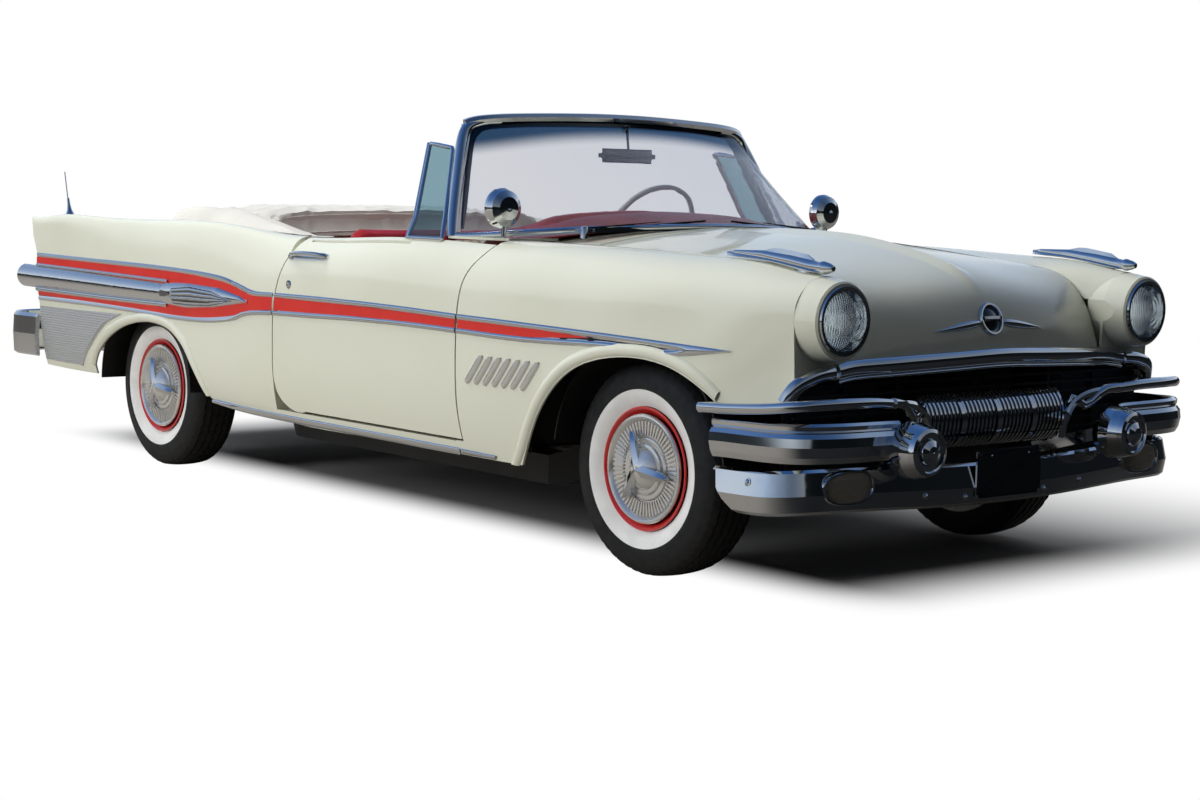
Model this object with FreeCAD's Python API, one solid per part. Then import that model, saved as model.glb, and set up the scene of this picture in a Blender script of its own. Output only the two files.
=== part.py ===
import FreeCAD
import Part
import math
import os

# A 1950s two-door convertible car, in millimetres.
#
# The car stands on its four tyres with its nose towards +X and its left side
# towards +Y. The origin is on the floor, midway along and across the car.
# Most places are written as (s, w, z): s is how far ahead of the front axle,
# w is how far out from the centreline and z is the height above the floor.

V = FreeCAD.Vector

# Driving dimensions of the whole car
LENGTH = 5403.0
FRONT_OVERHANG = 895.0
WHEELBASE = 3150.0
TRACK = 1500.0

# Panels and gaps
SKIN = 8.0
LID_THICKNESS = 16.0
GAP = 7.0
SEAM_GAP = 6.0
HINGE_GAP = 12.0
LIP_THICKNESS = 6.0
LIP_DEPTH = 40.0
SEAT = 0.3
BEARING_GAP = 0.05

# Wheels, tyres and steering
TYRE_RADIUS = 345.0
TYRE_WIDTH = 214.0
BEAD_RADIUS = 180.0
RIM_RADIUS = 198.0
RIM_HALF_WIDTH = 86.0
BARREL_WALL = 8.0
COVER_RADIUS = 174.0
SPINDLE_RADIUS = 20.0
KINGPIN_W = 665.0
KINGPIN_RADIUS = 14.0

# Doors, as distances behind the front axle
DOOR_FRONT = 877.0
DOOR_REAR = 2073.0
DOOR_BOTTOM = 352.0
DOOR_INNER = 850.0
DOOR_TOP = 1033.0
HINGE_BACK = 58.0
HINGE_W = 928.0
HINGE_PIN = 6.0
HINGE_STRAP = 14.0
HINGE_HEIGHTS = (575.0, 765.0)

# Hood, cowl and trunk lid
HOOD_REAR = 530.0
HOOD_HALF = 600.0
HOOD_HINGE_S = -618.0
HOOD_HINGE_Z = 1018.0
LID_FRONT = 3185.0
LID_HALF = 661.0
LID_BOTTOM = 600.0
LID_HINGE_S = -3120.0
LID_HINGE_Z = 1000.0
LID_PIN = 8.0

FRONT_AXLE_X = LENGTH / 2 - FRONT_OVERHANG
AXLE_Z = TYRE_RADIUS
WHEEL_W = TRACK / 2
FAR = 1400.0

NODES = {}


def at(s, w, z):
    """A point on the right-hand side of the car."""
    return V(FRONT_AXLE_X + s, -w, z)


def mirror(shape):
    return shape.mirror(V(0, 0, 0), V(0, 1, 0))


def both(*shapes):
    """Right-hand shapes and their mirror images, as separate solids."""
    return Part.makeCompound([s for shape in shapes for s in (shape, mirror(shape))])


def fuse(first, *others):
    return first.multiFuse(list(others)) if others else first


def cut(shape, *tools):
    for tool in tools:
        shape = shape.cut(tool)
    return shape


def polygon(points):
    return Part.makePolygon(list(points) + [points[0]])


def box(s0, s1, w0, w1, z0, z1):
    corner = V(FRONT_AXLE_X + min(s0, s1), -max(w0, w1), min(z0, z1))
    return Part.makeBox(abs(s1 - s0), abs(w1 - w0), abs(z1 - z0), corner)


def side_prism(points, w0, w1):
    """Extrudes a side-view outline of (s, z) points between two widths."""
    face = Part.Face(polygon([at(s, w1, z) for s, z in points]))
    return face.extrude(V(0, w1 - w0, 0))


def plan_prism(points, z0, z1):
    """Extrudes a plan-view outline of (s, w) points between two heights."""
    face = Part.Face(polygon([at(s, w, z0) for s, w in points]))
    return face.extrude(V(0, 0, z1 - z0))


def front_prism(points, s0, s1):
    """Extrudes a front-view outline of (w, z) points along the car."""
    face = Part.Face(polygon([at(s0, w, z) for w, z in points]))
    return face.extrude(V(s1 - s0, 0, 0))


def ring(profile, centre, axis):
    """Revolves a closed outline of (radius, offset) points about an axis."""
    axis = V(axis).normalize()
    side = axis.cross(V(0, 0, 1)) if abs(axis.z) < 0.9 else V(1, 0, 0)
    side.normalize()
    points = [centre + side * r + axis * a for r, a in profile]
    face = Part.Face(polygon(points))
    return face.revolve(centre, axis, 360)


def cylinder(radius, start, end):
    return Part.makeCylinder(radius, (end - start).Length, start, end - start)


def inward(points, depth):
    """Moves a flat run of (u, v) points to its right-hand side by a depth."""
    moved = []
    for i, (u, v) in enumerate(points):
        u0, v0 = points[max(0, i - 1)]
        u1, v1 = points[min(len(points) - 1, i + 1)]
        run = math.hypot(u1 - u0, v1 - v0)
        moved.append((u - depth * (v1 - v0) / run, v + depth * (u1 - u0) / run))
    return moved


def spline(points, marks=None):
    """A smooth curve through points. Marks keep neighbouring sections alike."""
    curve = Part.BSplineCurve()
    if marks:
        curve.interpolate(Points=points, Parameters=marks)
    else:
        curve.interpolate(points)
    return curve.toShape()


def band_wire(skin, lining, marks):
    return Part.Wire([spline(skin, marks), Part.makeLine(skin[-1], lining[-1]),
                      spline(lining, marks), Part.makeLine(lining[0], skin[0])])


def bar_loft(stations, section, up=V(0, 0, 1), ruled=False):
    """Lofts a closed (out, up) outline along stations, turning with them."""
    wires = []
    for i, p in enumerate(stations):
        ahead = stations[min(len(stations) - 1, i + 1)]
        behind = stations[max(0, i - 1)]
        run = (ahead - behind).normalize()
        side = run.cross(up).normalize()
        top = side.cross(run).normalize()
        outline = section[i] if isinstance(section[0], list) else section
        wires.append(polygon([p + side * a + top * b for a, b in outline]))
    return Part.makeLoft(wires, True, ruled)


def sweep(points, section, count=14, up=V(0, 0, 1)):
    """Lofts a closed outline along a smooth curve through the points."""
    curve = Part.BSplineCurve()
    curve.interpolate(points)
    return bar_loft(curve.discretize(count), section, up)


# Cross-sections of one side from sill to seam: s, then (w, z) for the sill,
# flank, belly, waist, shoulder, crest, inner slope and seam
SIDE_MARKS = [0.0, 0.14, 0.35, 0.55, 0.70, 0.80, 0.88, 1.0]
SIDE = [
    (740, (846, 540), (838, 640), (838, 740), (838, 850), (806, 932), (722, 968),
     (650, 930), (604, 800)),
    (655, (856, 540), (844, 640), (844, 740), (850, 850), (816, 942), (723, 982),
     (650, 950), (600, 800)),
    (560, (872, 540), (862, 640), (862, 740), (866, 850), (826, 950), (724, 996),
     (656, 984), (600, 905)),
    (420, (890, 500), (892, 610), (896, 720), (888, 850), (842, 958), (738, 1012),
     (660, 1006), (600, 978)),
    (200, (898, 400), (914, 530), (922, 680), (912, 840), (872, 960), (764, 1018),
     (680, 1018), (600, 1009)),
    (-100, (904, 320), (928, 460), (938, 640), (928, 820), (892, 960), (786, 1026),
     (690, 1029), (600, 1022)),
    (-500, (906, 300), (932, 430), (944, 630), (935, 820), (902, 966), (808, 1034),
     (704, 1036), (600, 1030)),
    (-900, (906, 300), (933, 420), (945, 630), (937, 820), (908, 968), (828, 1036),
     (720, 1040), (600, 1039)),
    (-1400, (906, 300), (933, 420), (945, 630), (938, 820), (912, 968), (848, 1033),
     (790, 1040), (700, 1042)),
    (-1950, (906, 300), (933, 420), (945, 630), (938, 820), (914, 956), (862, 1010),
     (806, 1016), (720, 1018)),
    (-2150, (906, 310), (933, 420), (945, 630), (938, 820), (914, 966), (870, 1018),
     (806, 1018), (720, 1015)),
    (-2450, (905, 330), (932, 430), (944, 630), (938, 820), (920, 985), (884, 1046),
     (816, 1032), (720, 1018)),
    (-3000, (902, 360), (926, 450), (940, 630), (938, 820), (922, 1000), (888, 1054),
     (816, 1030), (690, 1010)),
    (-3600, (898, 360), (920, 450), (936, 630), (936, 820), (922, 1000), (892, 1052),
     (812, 1012), (661, 984)),
    (-4000, (894, 360), (916, 450), (932, 630), (933, 820), (921, 1000), (894, 1050),
     (810, 985), (661, 935)),
    (-4330, (890, 360), (912, 450), (928, 630), (930, 820), (920, 998), (896, 1046),
     (812, 940), (661, 850)),
]


def side_band(depth):
    wires = []
    for row in SIDE:
        skin = [at(row[0], w, z) for w, z in row[1:]]
        lining = [at(row[0], w, z) for w, z in inward(row[1:], depth)]
        wires.append(band_wire(skin, lining, SIDE_MARKS))
    return Part.makeLoft(wires, True)


def side_mass():
    """Everything inboard of one side's skin, out to its seam."""
    wires = []
    for row in SIDE:
        skin = [at(row[0], w, z) for w, z in row[1:]]
        foot = at(row[0], row[-1][0], row[1][1])
        wires.append(Part.Wire([spline(skin, SIDE_MARKS), Part.makeLine(skin[-1], foot),
                                Part.makeLine(foot, skin[0])]))
    return Part.makeLoft(wires, True)


# Hood, cowl and nose: lengthwise profiles of (s, z) at four widths
HOOD_MARKS = [0.0, 0.3, 0.45, 0.56, 0.65, 0.76, 0.83, 0.87, 0.91, 0.955, 1.0]
HOOD_PROFILES = [
    (0, [(-1150, 1112), (-525, 1094), (-198, 1089), (60, 1080), (242, 1057),
         (460, 1010), (587, 957), (640, 910), (672, 850), (694, 780), (706, 724)]),
    (200, [(-1150, 1098), (-525, 1080), (-198, 1074), (60, 1062), (242, 1038),
           (460, 992), (585, 940), (636, 893), (668, 835), (688, 770), (698, 718)]),
    (420, [(-1150, 1074), (-525, 1058), (-198, 1051), (80, 1038), (280, 1012),
           (460, 972), (570, 920), (618, 872), (648, 815), (666, 760), (675, 706)]),
    (600, [(-1150, 1043), (-525, 1031), (-198, 1025), (112, 1015), (350, 994),
           (480, 966), (550, 915), (592, 858), (622, 787), (638, 740), (648, 692)]),
]

# Rear deck and trunk lid: lengthwise profiles at three widths
DECK_MARKS = [0.0, 0.16, 0.28, 0.44, 0.58, 0.68, 0.76, 0.82, 0.9, 1.0]
DECK_PROFILES = [
    (0, [(-2560, 1062), (-2900, 1060), (-3200, 1050), (-3600, 1022), (-3900, 980),
         (-4080, 927), (-4180, 852), (-4222, 770), (-4235, 690), (-4232, 590)]),
    (350, [(-2560, 1054), (-2900, 1051), (-3200, 1041), (-3600, 1013), (-3890, 972),
           (-4065, 920), (-4165, 846), (-4208, 768), (-4222, 690), (-4219, 590)]),
    (661, [(-2560, 1018), (-2900, 1012), (-3200, 1004), (-3600, 984), (-3850, 956),
           (-4020, 905), (-4110, 840), (-4148, 765), (-4160, 690), (-4157, 590)]),
]


def lengthwise_band(profiles, marks, depth):
    """A panel lofted across the car from lengthwise profiles, both sides."""
    wires = []
    for w, profile in profiles:
        skin = [at(s, w, z) for s, z in profile]
        lining = [at(s, w, z) for s, z in inward(profile, depth)]
        wires.append(band_wire(skin, lining, marks))
    half = Part.makeLoft(wires, True)
    return fuse(half, mirror(half))


# Side-view shut lines
DOOR_FRONT_LINE = [(-770, 1060), (-772, 1031), (-838, 938), (-876, 834),
                   (-DOOR_FRONT, 662), (-873, 491), (-857, DOOR_BOTTOM)]
DOOR_REAR_LINE = [(-1867, DOOR_BOTTOM), (-1990, 360), (-2049, 404), (-DOOR_REAR, 577),
                  (-2068, 770), (-2019, 906), (-1950, 1012), (-1946, 1060)]
FRONT_ARCH = [(-546, 293), (-505, 357), (-428, 481), (-352, 570),
              (-251, 643), (-103, 690), (89, 701), (229, 675), (320, 634), (388, 589)]
REAR_ARCH = [(-3623, 399), (-3555, 471), (-3432, 545), (-3276, 598),
             (-3097, 622), (-2923, 607), (-2796, 546), (-2712, 449), (-2629, 325)]
TAIL_LINE = [(-4275, 1075), (-4244, 1013), (-4223, 954), (-4172, 877), (-4162, 832),
             (-4150, 760), (-4135, 640), (-4132, 346)]


def outline_prism(runs, w0=300.0, w1=FAR):
    """Extrudes a closed side-view outline whose long runs are smooth curves."""
    edges = []
    for i, run in enumerate(runs):
        points = [at(s, w1, z) for s, z in run]
        edges.append(spline(points) if len(run) > 2 else Part.makeLine(*points))
        last = at(*((run[-1][0], w1, run[-1][1])))
        nxt = runs[(i + 1) % len(runs)][0]
        start = at(nxt[0], w1, nxt[1])
        if (start - last).Length > 1e-6:
            edges.append(Part.makeLine(last, start))
    face = Part.Face(Part.Wire(edges))
    return face.extrude(V(0, w1 - w0, 0))


def moved(run, distance):
    return [(s + distance, z) for s, z in run]


def door_outline(slack):
    """The door's outline in side view, shrunk by a slack all round."""
    front = moved(DOOR_FRONT_LINE, -slack)
    rear = moved(DOOR_REAR_LINE, slack)
    front[-1] = (front[-1][0], DOOR_BOTTOM + slack)
    rear[0] = (rear[0][0], DOOR_BOTTOM + slack)
    rear[1] = (rear[1][0], rear[1][1] + slack)
    return outline_prism([front, rear])


front_arch_prism = outline_prism([FRONT_ARCH, [(900, 592), (900, 100)],
                                  [(900, 100), (-550, 100)]])
rear_arch_prism = outline_prism([REAR_ARCH, [(-2626, 100), (-3630, 100)]])
BAND = side_band(SKIN)
MASS = side_mass()
SEAM_SIDE = box(-5000, 1500, 0, HOOD_HALF + SEAM_GAP / 2, 0, 2000)


# Front fender
FENDER_FOOT = 20.0
LAMP_BORE = 98.0
LAMP_RIM = 126.0
LAMP_INSET = 2.0
LAMP_W = HOOD_HALF + LAMP_RIM - LAMP_INSET
LAMP_Z = 854.0
LIP_CURVE = [(870, 585), (860, 598), (822, 675), (697, 685), (600, 699), (439, 705),
             (212, 715), (0, 725)]
lamp_axis = (at(500, LAMP_W, LAMP_Z), at(900, LAMP_W, LAMP_Z))
below_lip = front_prism([(930, 400), (930, 560)] + LIP_CURVE + [(0, 400)], 560, 900)
fender_front = [(s, z) for s, z in [(730, 1100), (730, 742), (652, 742), (652, 560)]]

shell = BAND.common(box(-DOOR_FRONT - FENDER_FOOT, 655, 0, FAR, 200, 1200))
wall_edge = [at(643, w, z) for w, z in inward(SIDE[1][1:], SKIN / 2)]
wall_foot = at(643, HOOD_HALF, 540)
wall_wire = Part.Wire([spline(wall_edge, SIDE_MARKS), Part.makeLine(wall_edge[-1], wall_foot),
                       Part.makeLine(wall_foot, wall_edge[0])])
wall = Part.Face(wall_wire).extrude(V(9, 0, 0))
lamp_tube = ring([(LAMP_BORE, 590), (LAMP_RIM, 590), (LAMP_RIM, 655), (122, 690), (116, 730),
                  (110, 736), (LAMP_BORE, 736)], at(0, LAMP_W, LAMP_Z), V(1, 0, 0))
fender = cut(fuse(shell, wall), cylinder(LAMP_RIM + SEAT, *lamp_axis),
             door_outline(-GAP / 2), front_arch_prism, SEAM_SIDE, below_lip)
fender = max(fender.Solids, key=lambda s: s.Volume)
NODES["headlamp_rims"] = both(cut(lamp_tube, SEAM_SIDE, below_lip))
NODES["fender_right"] = fender
NODES["fender_left"] = mirror(fender)

# Door
door = MASS.common(door_outline(GAP / 2)).common(box(-2200, -700, DOOR_INNER, FAR, 300,
                                                      DOOR_TOP))
window_slot = box(-1900, -1250, 868, 880, 880, 1100)
hinge_s = -DOOR_FRONT - GAP / 2 - HINGE_BACK
straps = []
pins = []
for hinge_z in HINGE_HEIGHTS:
    z0 = hinge_z - HINGE_STRAP / 2
    z1 = hinge_z + HINGE_STRAP / 2
    pocket = plan_prism([(-860, 840), (-860, 939), (hinge_s - 18, 939),
                         (hinge_s - 18, 840)], z0 - 6, z1 + 6)
    door = cut(door, pocket)
    eye = cylinder(HINGE_PIN + 4, at(hinge_s, HINGE_W, z0), at(hinge_s, HINGE_W, z1))
    arm = plan_prism([(hinge_s - 6, HINGE_W), (hinge_s - 6, 852), (-868, 852),
                      (-868, 864), (hinge_s + 6, 864), (hinge_s + 6, HINGE_W)], z0, z1)
    hole = cylinder(HINGE_PIN + BEARING_GAP, at(hinge_s, HINGE_W, z0 - 1),
                    at(hinge_s, HINGE_W, z1 + 1))
    straps.append(cut(fuse(eye, arm), hole))
    pins.append(cylinder(HINGE_PIN, at(hinge_s, HINGE_W, z0 - 12),
                         at(hinge_s, HINGE_W, z1 + 12)))
door = fuse(cut(door, window_slot), *pins)
NODES["door_right"] = door
NODES["door_left"] = mirror(door)

# Quarter panel, with the lock pillar in front and the end wall behind
quarter_outline = outline_prism([TAIL_LINE, [(-4132, 346), (-1800, 346)],
                                 [(-1800, 346), (-1800, 1100)],
                                 [(-1800, 1100), (-4275, 1100)]])
lid_side = box(-5000, -3100, 0, LID_HALF + SEAM_GAP / 2, LID_BOTTOM - SEAM_GAP, 2000)
tail_wall_front = outline_prism([moved(TAIL_LINE, 8), [(-4124, 346), (-1800, 346)],
                                 [(-1800, 346), (-1800, 1100)],
                                 [(-1800, 1100), (-4267, 1100)]])
end_wall = cut(MASS.common(quarter_outline), tail_wall_front)
lock_pillar = MASS.common(box(-2560, -1900, 850, FAR, 346, 1200))
quarter = fuse(BAND.common(quarter_outline), end_wall, lock_pillar)
quarter = cut(quarter, door_outline(-GAP / 2), box(-1990, 0, 0, FAR, 0, 2000),
              rear_arch_prism, lid_side)
below_belt = box(-2076, -1880, 0, FAR, 0, 700)
quarter = cut(quarter, below_belt)
NODES["quarter_right"] = quarter
NODES["quarter_left"] = mirror(quarter)

# Sills under the doors
sill = MASS.common(box(-2610, -DOOR_FRONT - FENDER_FOOT - SEAT, 845, FAR, 290, 346 - SEAT))
NODES["sills"] = both(cut(sill, rear_arch_prism))

# Hood with its hinge arms
hood_skin = lengthwise_band(HOOD_PROFILES, HOOD_MARKS, -LID_THICKNESS)
hood = hood_skin.common(box(-HOOD_REAR, 800, -HOOD_HALF + SEAM_GAP / 2,
                            HOOD_HALF - SEAM_GAP / 2, 690, 1200))
hood_rebate = [(w, inward(profile, -LIP_THICKNESS)) for w, profile in HOOD_PROFILES]
hood_rebate = lengthwise_band(hood_rebate, HOOD_MARKS, -LID_THICKNESS)
hood = cut(hood, hood_rebate.common(box(-HOOD_REAR - 20, -HOOD_REAR + LIP_DEPTH, -FAR, FAR,
                                        690, 1200)))
arm_side = [(HOOD_HINGE_S - 14, HOOD_HINGE_Z), (HOOD_HINGE_S + 34, HOOD_HINGE_Z - 62),
            (HOOD_HINGE_S + 122, HOOD_HINGE_Z - 70), (HOOD_HINGE_S + 150,
            HOOD_HINGE_Z + 24), (HOOD_HINGE_S + 122, HOOD_HINGE_Z + 24),
            (HOOD_HINGE_S + 104, HOOD_HINGE_Z - 48), (HOOD_HINGE_S + 44,
            HOOD_HINGE_Z - 40), (HOOD_HINGE_S + 14, HOOD_HINGE_Z)]
arm = fuse(side_prism(arm_side, 462, 474),
           cylinder(14, at(HOOD_HINGE_S, 462, HOOD_HINGE_Z),
                    at(HOOD_HINGE_S, 474, HOOD_HINGE_Z)))
arm = cut(arm, cylinder(LID_PIN + BEARING_GAP, at(HOOD_HINGE_S, 400, HOOD_HINGE_Z),
                        at(HOOD_HINGE_S, 500, HOOD_HINGE_Z)))
hood = fuse(hood, arm, mirror(arm))
NODES["hood"] = hood

# Cowl, windshield shelf, firewall and hinge pillars
cowl_top = lengthwise_band(HOOD_PROFILES, HOOD_MARKS, -10)
cowl = cowl_top.common(box(-1060, -HOOD_REAR - HINGE_GAP, -HOOD_HALF, HOOD_HALF, 900, 1200))
shelf = plan_prism([(-772, 585), (-772, 800), (-830, 826), (-930, 840), (-1072, 840),
                    (-1072, 585)], DOOR_TOP + 5.5, DOOR_TOP + 14)
shelf = fuse(shelf, box(-1060, -772, 580, 600, 1020, DOOR_TOP + 6))
cowl = fuse(cowl, shelf, mirror(shelf))
firewall = box(-708, -700, -748, 748, 560, 1030)
kick = side_prism([(-708, 560), (-708, 1035), (-775, 1041), (-860, 820), (-868, 312),
                   (-708, 312)], 740, 748)
pillar = MASS.common(box(-868, -805, 748, FAR, 300, 828))
pillar = cut(pillar, BAND, door_outline(-GAP / 2))
hinge_pin = cylinder(LID_PIN, at(HOOD_HINGE_S, 460, HOOD_HINGE_Z),
                     at(HOOD_HINGE_S, 488, HOOD_HINGE_Z))
hood_bracket = fuse(box(-708, HOOD_HINGE_S + 16, 478, 488, HOOD_HINGE_Z - 20,
                        HOOD_HINGE_Z + 16), hinge_pin)
NODES["cowl"] = cowl
cowl_side = fuse(kick, pillar, *straps)
firewall = fuse(firewall, hood_bracket, mirror(hood_bracket), cowl_side,
                mirror(cowl_side))
firewall = cut(firewall, NODES["cowl"], BAND, mirror(BAND))
NODES["firewall"] = max(firewall.Solids, key=lambda x: x.Volume)

# Trunk lid with its hinge arms
deck_skin = lengthwise_band(DECK_PROFILES, DECK_MARKS, LID_THICKNESS)
lid = deck_skin.common(box(-4400, -LID_FRONT, -LID_HALF + SEAM_GAP / 2,
                           LID_HALF - SEAM_GAP / 2, LID_BOTTOM, 1200))
lid_rebate = [(w, inward(profile, LIP_THICKNESS)) for w, profile in DECK_PROFILES]
lid_rebate = lengthwise_band(lid_rebate, DECK_MARKS, LID_THICKNESS)
NODES["trunk_lid"] = cut(lid, lid_rebate.common(box(-LID_FRONT - LIP_DEPTH, -LID_FRONT + 20,
                                                    -FAR, FAR, LID_BOTTOM, 1200)))
deck = lengthwise_band(DECK_PROFILES, DECK_MARKS, 10)
NODES["rear_deck"] = deck.common(box(-LID_FRONT + HINGE_GAP, -2620, -655, 655, 900, 1200))

# Panels behind and between: tail panel
tail_curve = [(-4130, 880), (-4157, 661), (-4205, 420), (-4226, 200), (-4230, 0)]


def across(points):
    """Mirrors a right-hand plan run of (s, w) points to a full-width run."""
    return list(points) + [(s, -w) for s, w in reversed(points) if w > 0]


def plan_band(points, depth, z0, z1):
    """A full-width upright panel that follows a plan-view run of points."""
    run = across(points)
    lining = [(s + depth, w) for s, w in run]
    outer = spline([at(s, w, z0) for s, w in run])
    inner = spline([at(s, w, z0) for s, w in lining])
    wire = Part.Wire([outer, Part.makeLine(at(*run[-1], z0), at(*lining[-1], z0)),
                      inner, Part.makeLine(at(*lining[0], z0), at(*run[0], z0))])
    return Part.Face(wire).extrude(V(0, 0, z1 - z0))


tail_panel = plan_band(tail_curve, 8, 430, LID_BOTTOM - SEAM_GAP)
tail_panel = cut(tail_panel, MASS, mirror(MASS))
NODES["tail_panel"] = tail_panel

# Trunk lid hinge arms, under the rear deck
lid_arm = side_prism([(LID_HINGE_S + 14, LID_HINGE_Z), (LID_HINGE_S - 40, LID_HINGE_Z - 62),
                      (LID_HINGE_S - 128, LID_HINGE_Z - 68), (LID_HINGE_S - 160,
                      LID_HINGE_Z + 14), (LID_HINGE_S - 130, LID_HINGE_Z + 14),
                      (LID_HINGE_S - 112, LID_HINGE_Z - 46), (LID_HINGE_S - 50,
                      LID_HINGE_Z - 40), (LID_HINGE_S - 14, LID_HINGE_Z)], 500, 512)
lid_arm = fuse(lid_arm, cylinder(14, at(LID_HINGE_S, 500, LID_HINGE_Z),
                                 at(LID_HINGE_S, 512, LID_HINGE_Z)))
lid_arm = cut(lid_arm, cylinder(LID_PIN + BEARING_GAP, at(LID_HINGE_S, 400, LID_HINGE_Z),
                                at(LID_HINGE_S, 600, LID_HINGE_Z)))
NODES["trunk_lid"] = fuse(NODES["trunk_lid"], lid_arm, mirror(lid_arm))
lid_pin = cylinder(LID_PIN, at(LID_HINGE_S, 498, LID_HINGE_Z),
                   at(LID_HINGE_S, 526, LID_HINGE_Z))
lid_bracket = fuse(box(LID_HINGE_S - 16, LID_HINGE_S + 16, 516, 526, LID_HINGE_Z - 20,
                       1045), lid_pin)
lid_bracket = cut(lid_bracket, NODES["rear_deck"])
lid_bracket = max(lid_bracket.Solids, key=lambda s: s.Volume)
NODES["rear_deck"] = fuse(NODES["rear_deck"], lid_bracket, mirror(lid_bracket))

# Wheels and tyres
TYRE_FLANK = TYRE_WIDTH / 2
tyre_profile = [(BEAD_RADIUS, -RIM_HALF_WIDTH + 8), (BEAD_RADIUS, RIM_HALF_WIDTH - 8)]
SPOKE_W = 30.0


def tyre(centre):
    """A bias-ply tyre: bead, bulged flank and a gently crowned tread."""
    a = RIM_HALF_WIDTH - 8
    pts = [(BEAD_RADIUS, a), (RIM_RADIUS + 2, a + 4), (238, TYRE_FLANK - 4),
           (268, TYRE_FLANK), (302, TYRE_FLANK - 6), (330, 86), (340, 64),
           (TYRE_RADIUS, 30)]
    right = [V(0, x, r) for r, x in pts]
    left = [V(0, -x, r) for r, x in reversed(pts)]
    flank = spline(right[1:])
    other = spline(left[:-1])
    wire = Part.Wire([Part.makeLine(right[0], right[1]), flank,
                      Part.makeLine(right[-1], left[0]), other,
                      Part.makeLine(left[-2], left[-1]),
                      Part.makeLine(left[-1], right[0])])
    body = Part.Face(wire).revolve(V(0, 0, 0), V(0, 1, 0), 360)
    body.translate(centre)
    return body


def wheel(centre, outward):
    """Pressed steel wheel with its drum, hub bore and chrome cover."""
    axis = V(0, outward, 0)
    half = RIM_HALF_WIDTH
    barrel = BEAD_RADIUS - BARREL_WALL
    seat = half - 8 + SEAT
    rim = ring([(barrel, -half - 2), (RIM_RADIUS, -half - 2), (RIM_RADIUS, -seat - 4),
                (BEAD_RADIUS - SEAT, -seat), (BEAD_RADIUS - SEAT, seat),
                (RIM_RADIUS, seat + 4), (RIM_RADIUS, half + 2), (barrel, half + 2)],
               centre, axis)
    disc = ring([(SPINDLE_RADIUS + BEARING_GAP, 0), (SPINDLE_RADIUS + BEARING_GAP, 22),
                 (70, 22), (110, 34), (barrel, 24), (barrel, 14), (110, 24), (75, 8)],
                centre, axis)
    drum = ring([(SPINDLE_RADIUS + BEARING_GAP, -12), (SPINDLE_RADIUS + BEARING_GAP, 2),
                 (75, 8), (140, 2), (140, -58), (132, -58), (132, -12)], centre, axis)
    return fuse(rim, disc, drum)


def wheel_cover(centre, outward):
    """Domed chrome cover with a raised centre, seated on the rim's edge."""
    base = RIM_HALF_WIDTH + 2 + SEAT
    face = [(COVER_RADIUS + 2, base), (COVER_RADIUS + 2, base + 3), (160, base + 9),
            (140, base + 1), (118, base - 10), (92, base - 12), (60, base - 2),
            (44, base + 12), (30, base + 17), (0, base + 18)]
    back = [(0, base + 14), (28, base + 13), (40, base + 8), (58, base - 6),
            (92, base - 16), (120, base - 14), (142, base - 3), (160, base)]
    return ring(face + back, centre, V(0, outward, 0))


WHEELS = {"front_right": (0, -1), "front_left": (0, 1), "rear_right": (-WHEELBASE, -1),
          "rear_left": (-WHEELBASE, 1)}
for name, (s, side) in WHEELS.items():
    centre = V(FRONT_AXLE_X + s, side * WHEEL_W, AXLE_Z)
    NODES["tyre_" + name] = tyre(centre)
    NODES["wheel_" + name] = Part.makeCompound([wheel(centre, side),
                                                wheel_cover(centre, side)])

# Steering knuckles
knuckle = fuse(cylinder(SPINDLE_RADIUS, at(0, KINGPIN_W, AXLE_Z),
                        at(0, WHEEL_W + 18, AXLE_Z)),
               cylinder(70, at(0, KINGPIN_W + 8, AXLE_Z), at(0, KINGPIN_W + 16, AXLE_Z)),
               cylinder(24, at(0, KINGPIN_W, AXLE_Z - 98), at(0, KINGPIN_W, AXLE_Z + 98)),
               cylinder(KINGPIN_RADIUS, at(0, KINGPIN_W, AXLE_Z - 128),
                        at(0, KINGPIN_W, AXLE_Z + 128)),
               plan_prism([(0, KINGPIN_W - 12), (-120, KINGPIN_W - 52),
                           (-128, KINGPIN_W - 34), (0, KINGPIN_W + 12)],
                          AXLE_Z - 60, AXLE_Z - 44))
NODES["knuckle_right"] = knuckle
NODES["knuckle_left"] = mirror(knuckle)

# Chassis frame with its front suspension arms
rail_plan = [(560, 320), (560, 400), (-420, 400), (-760, 620), (-2400, 620),
             (-2620, 540), (-4080, 540), (-4080, 460), (-2660, 460), (-2440, 540),
             (-800, 540), (-460, 320)]
rail_side = [(560, 330), (560, 430), (-420, 430), (-760, 292), (-2400, 292),
             (-2710, 490), (-3480, 490), (-3700, 430), (-4080, 430), (-4080, 350),
             (-3660, 350), (-3440, 405), (-2720, 405), (-2440, 190), (-720, 190),
             (-380, 330)]
rail = plan_prism(rail_plan, 100, 600).common(side_prism(rail_side, 200, 700))
cross = [box(430, 520, -325, 325, 340, 420), box(-60, 60, -325, 325, 250, 336),
         box(-1240, -1160, -545, 545, 200, 250), box(-2260, -2180, -545, 545, 200, 250),
         box(-3980, -3920, -465, 465, 360, 420)]
tower = fuse(box(-60, 60, 300, 420, 225, 330), box(-55, 55, 400, 430, 330, 500))
arm_outline = [(-95, 425), (-95, 455), (-38, KINGPIN_W - 10), (-30, KINGPIN_W + 18),
               (30, KINGPIN_W + 18), (38, KINGPIN_W - 10), (95, 455), (95, 425)]
upper_z = AXLE_Z + 98 + SEAT
lower_z = AXLE_Z - 98 - SEAT
upper_arm = plan_prism(arm_outline, upper_z, upper_z + 20)
lower_arm = plan_prism([(s * 1.2, w - 45 if w < 460 else w) for s, w in arm_outline],
                       lower_z - 20, lower_z)
pin_hole = cylinder(KINGPIN_RADIUS + BEARING_GAP, at(0, KINGPIN_W, 100),
                    at(0, KINGPIN_W, 600))
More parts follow.
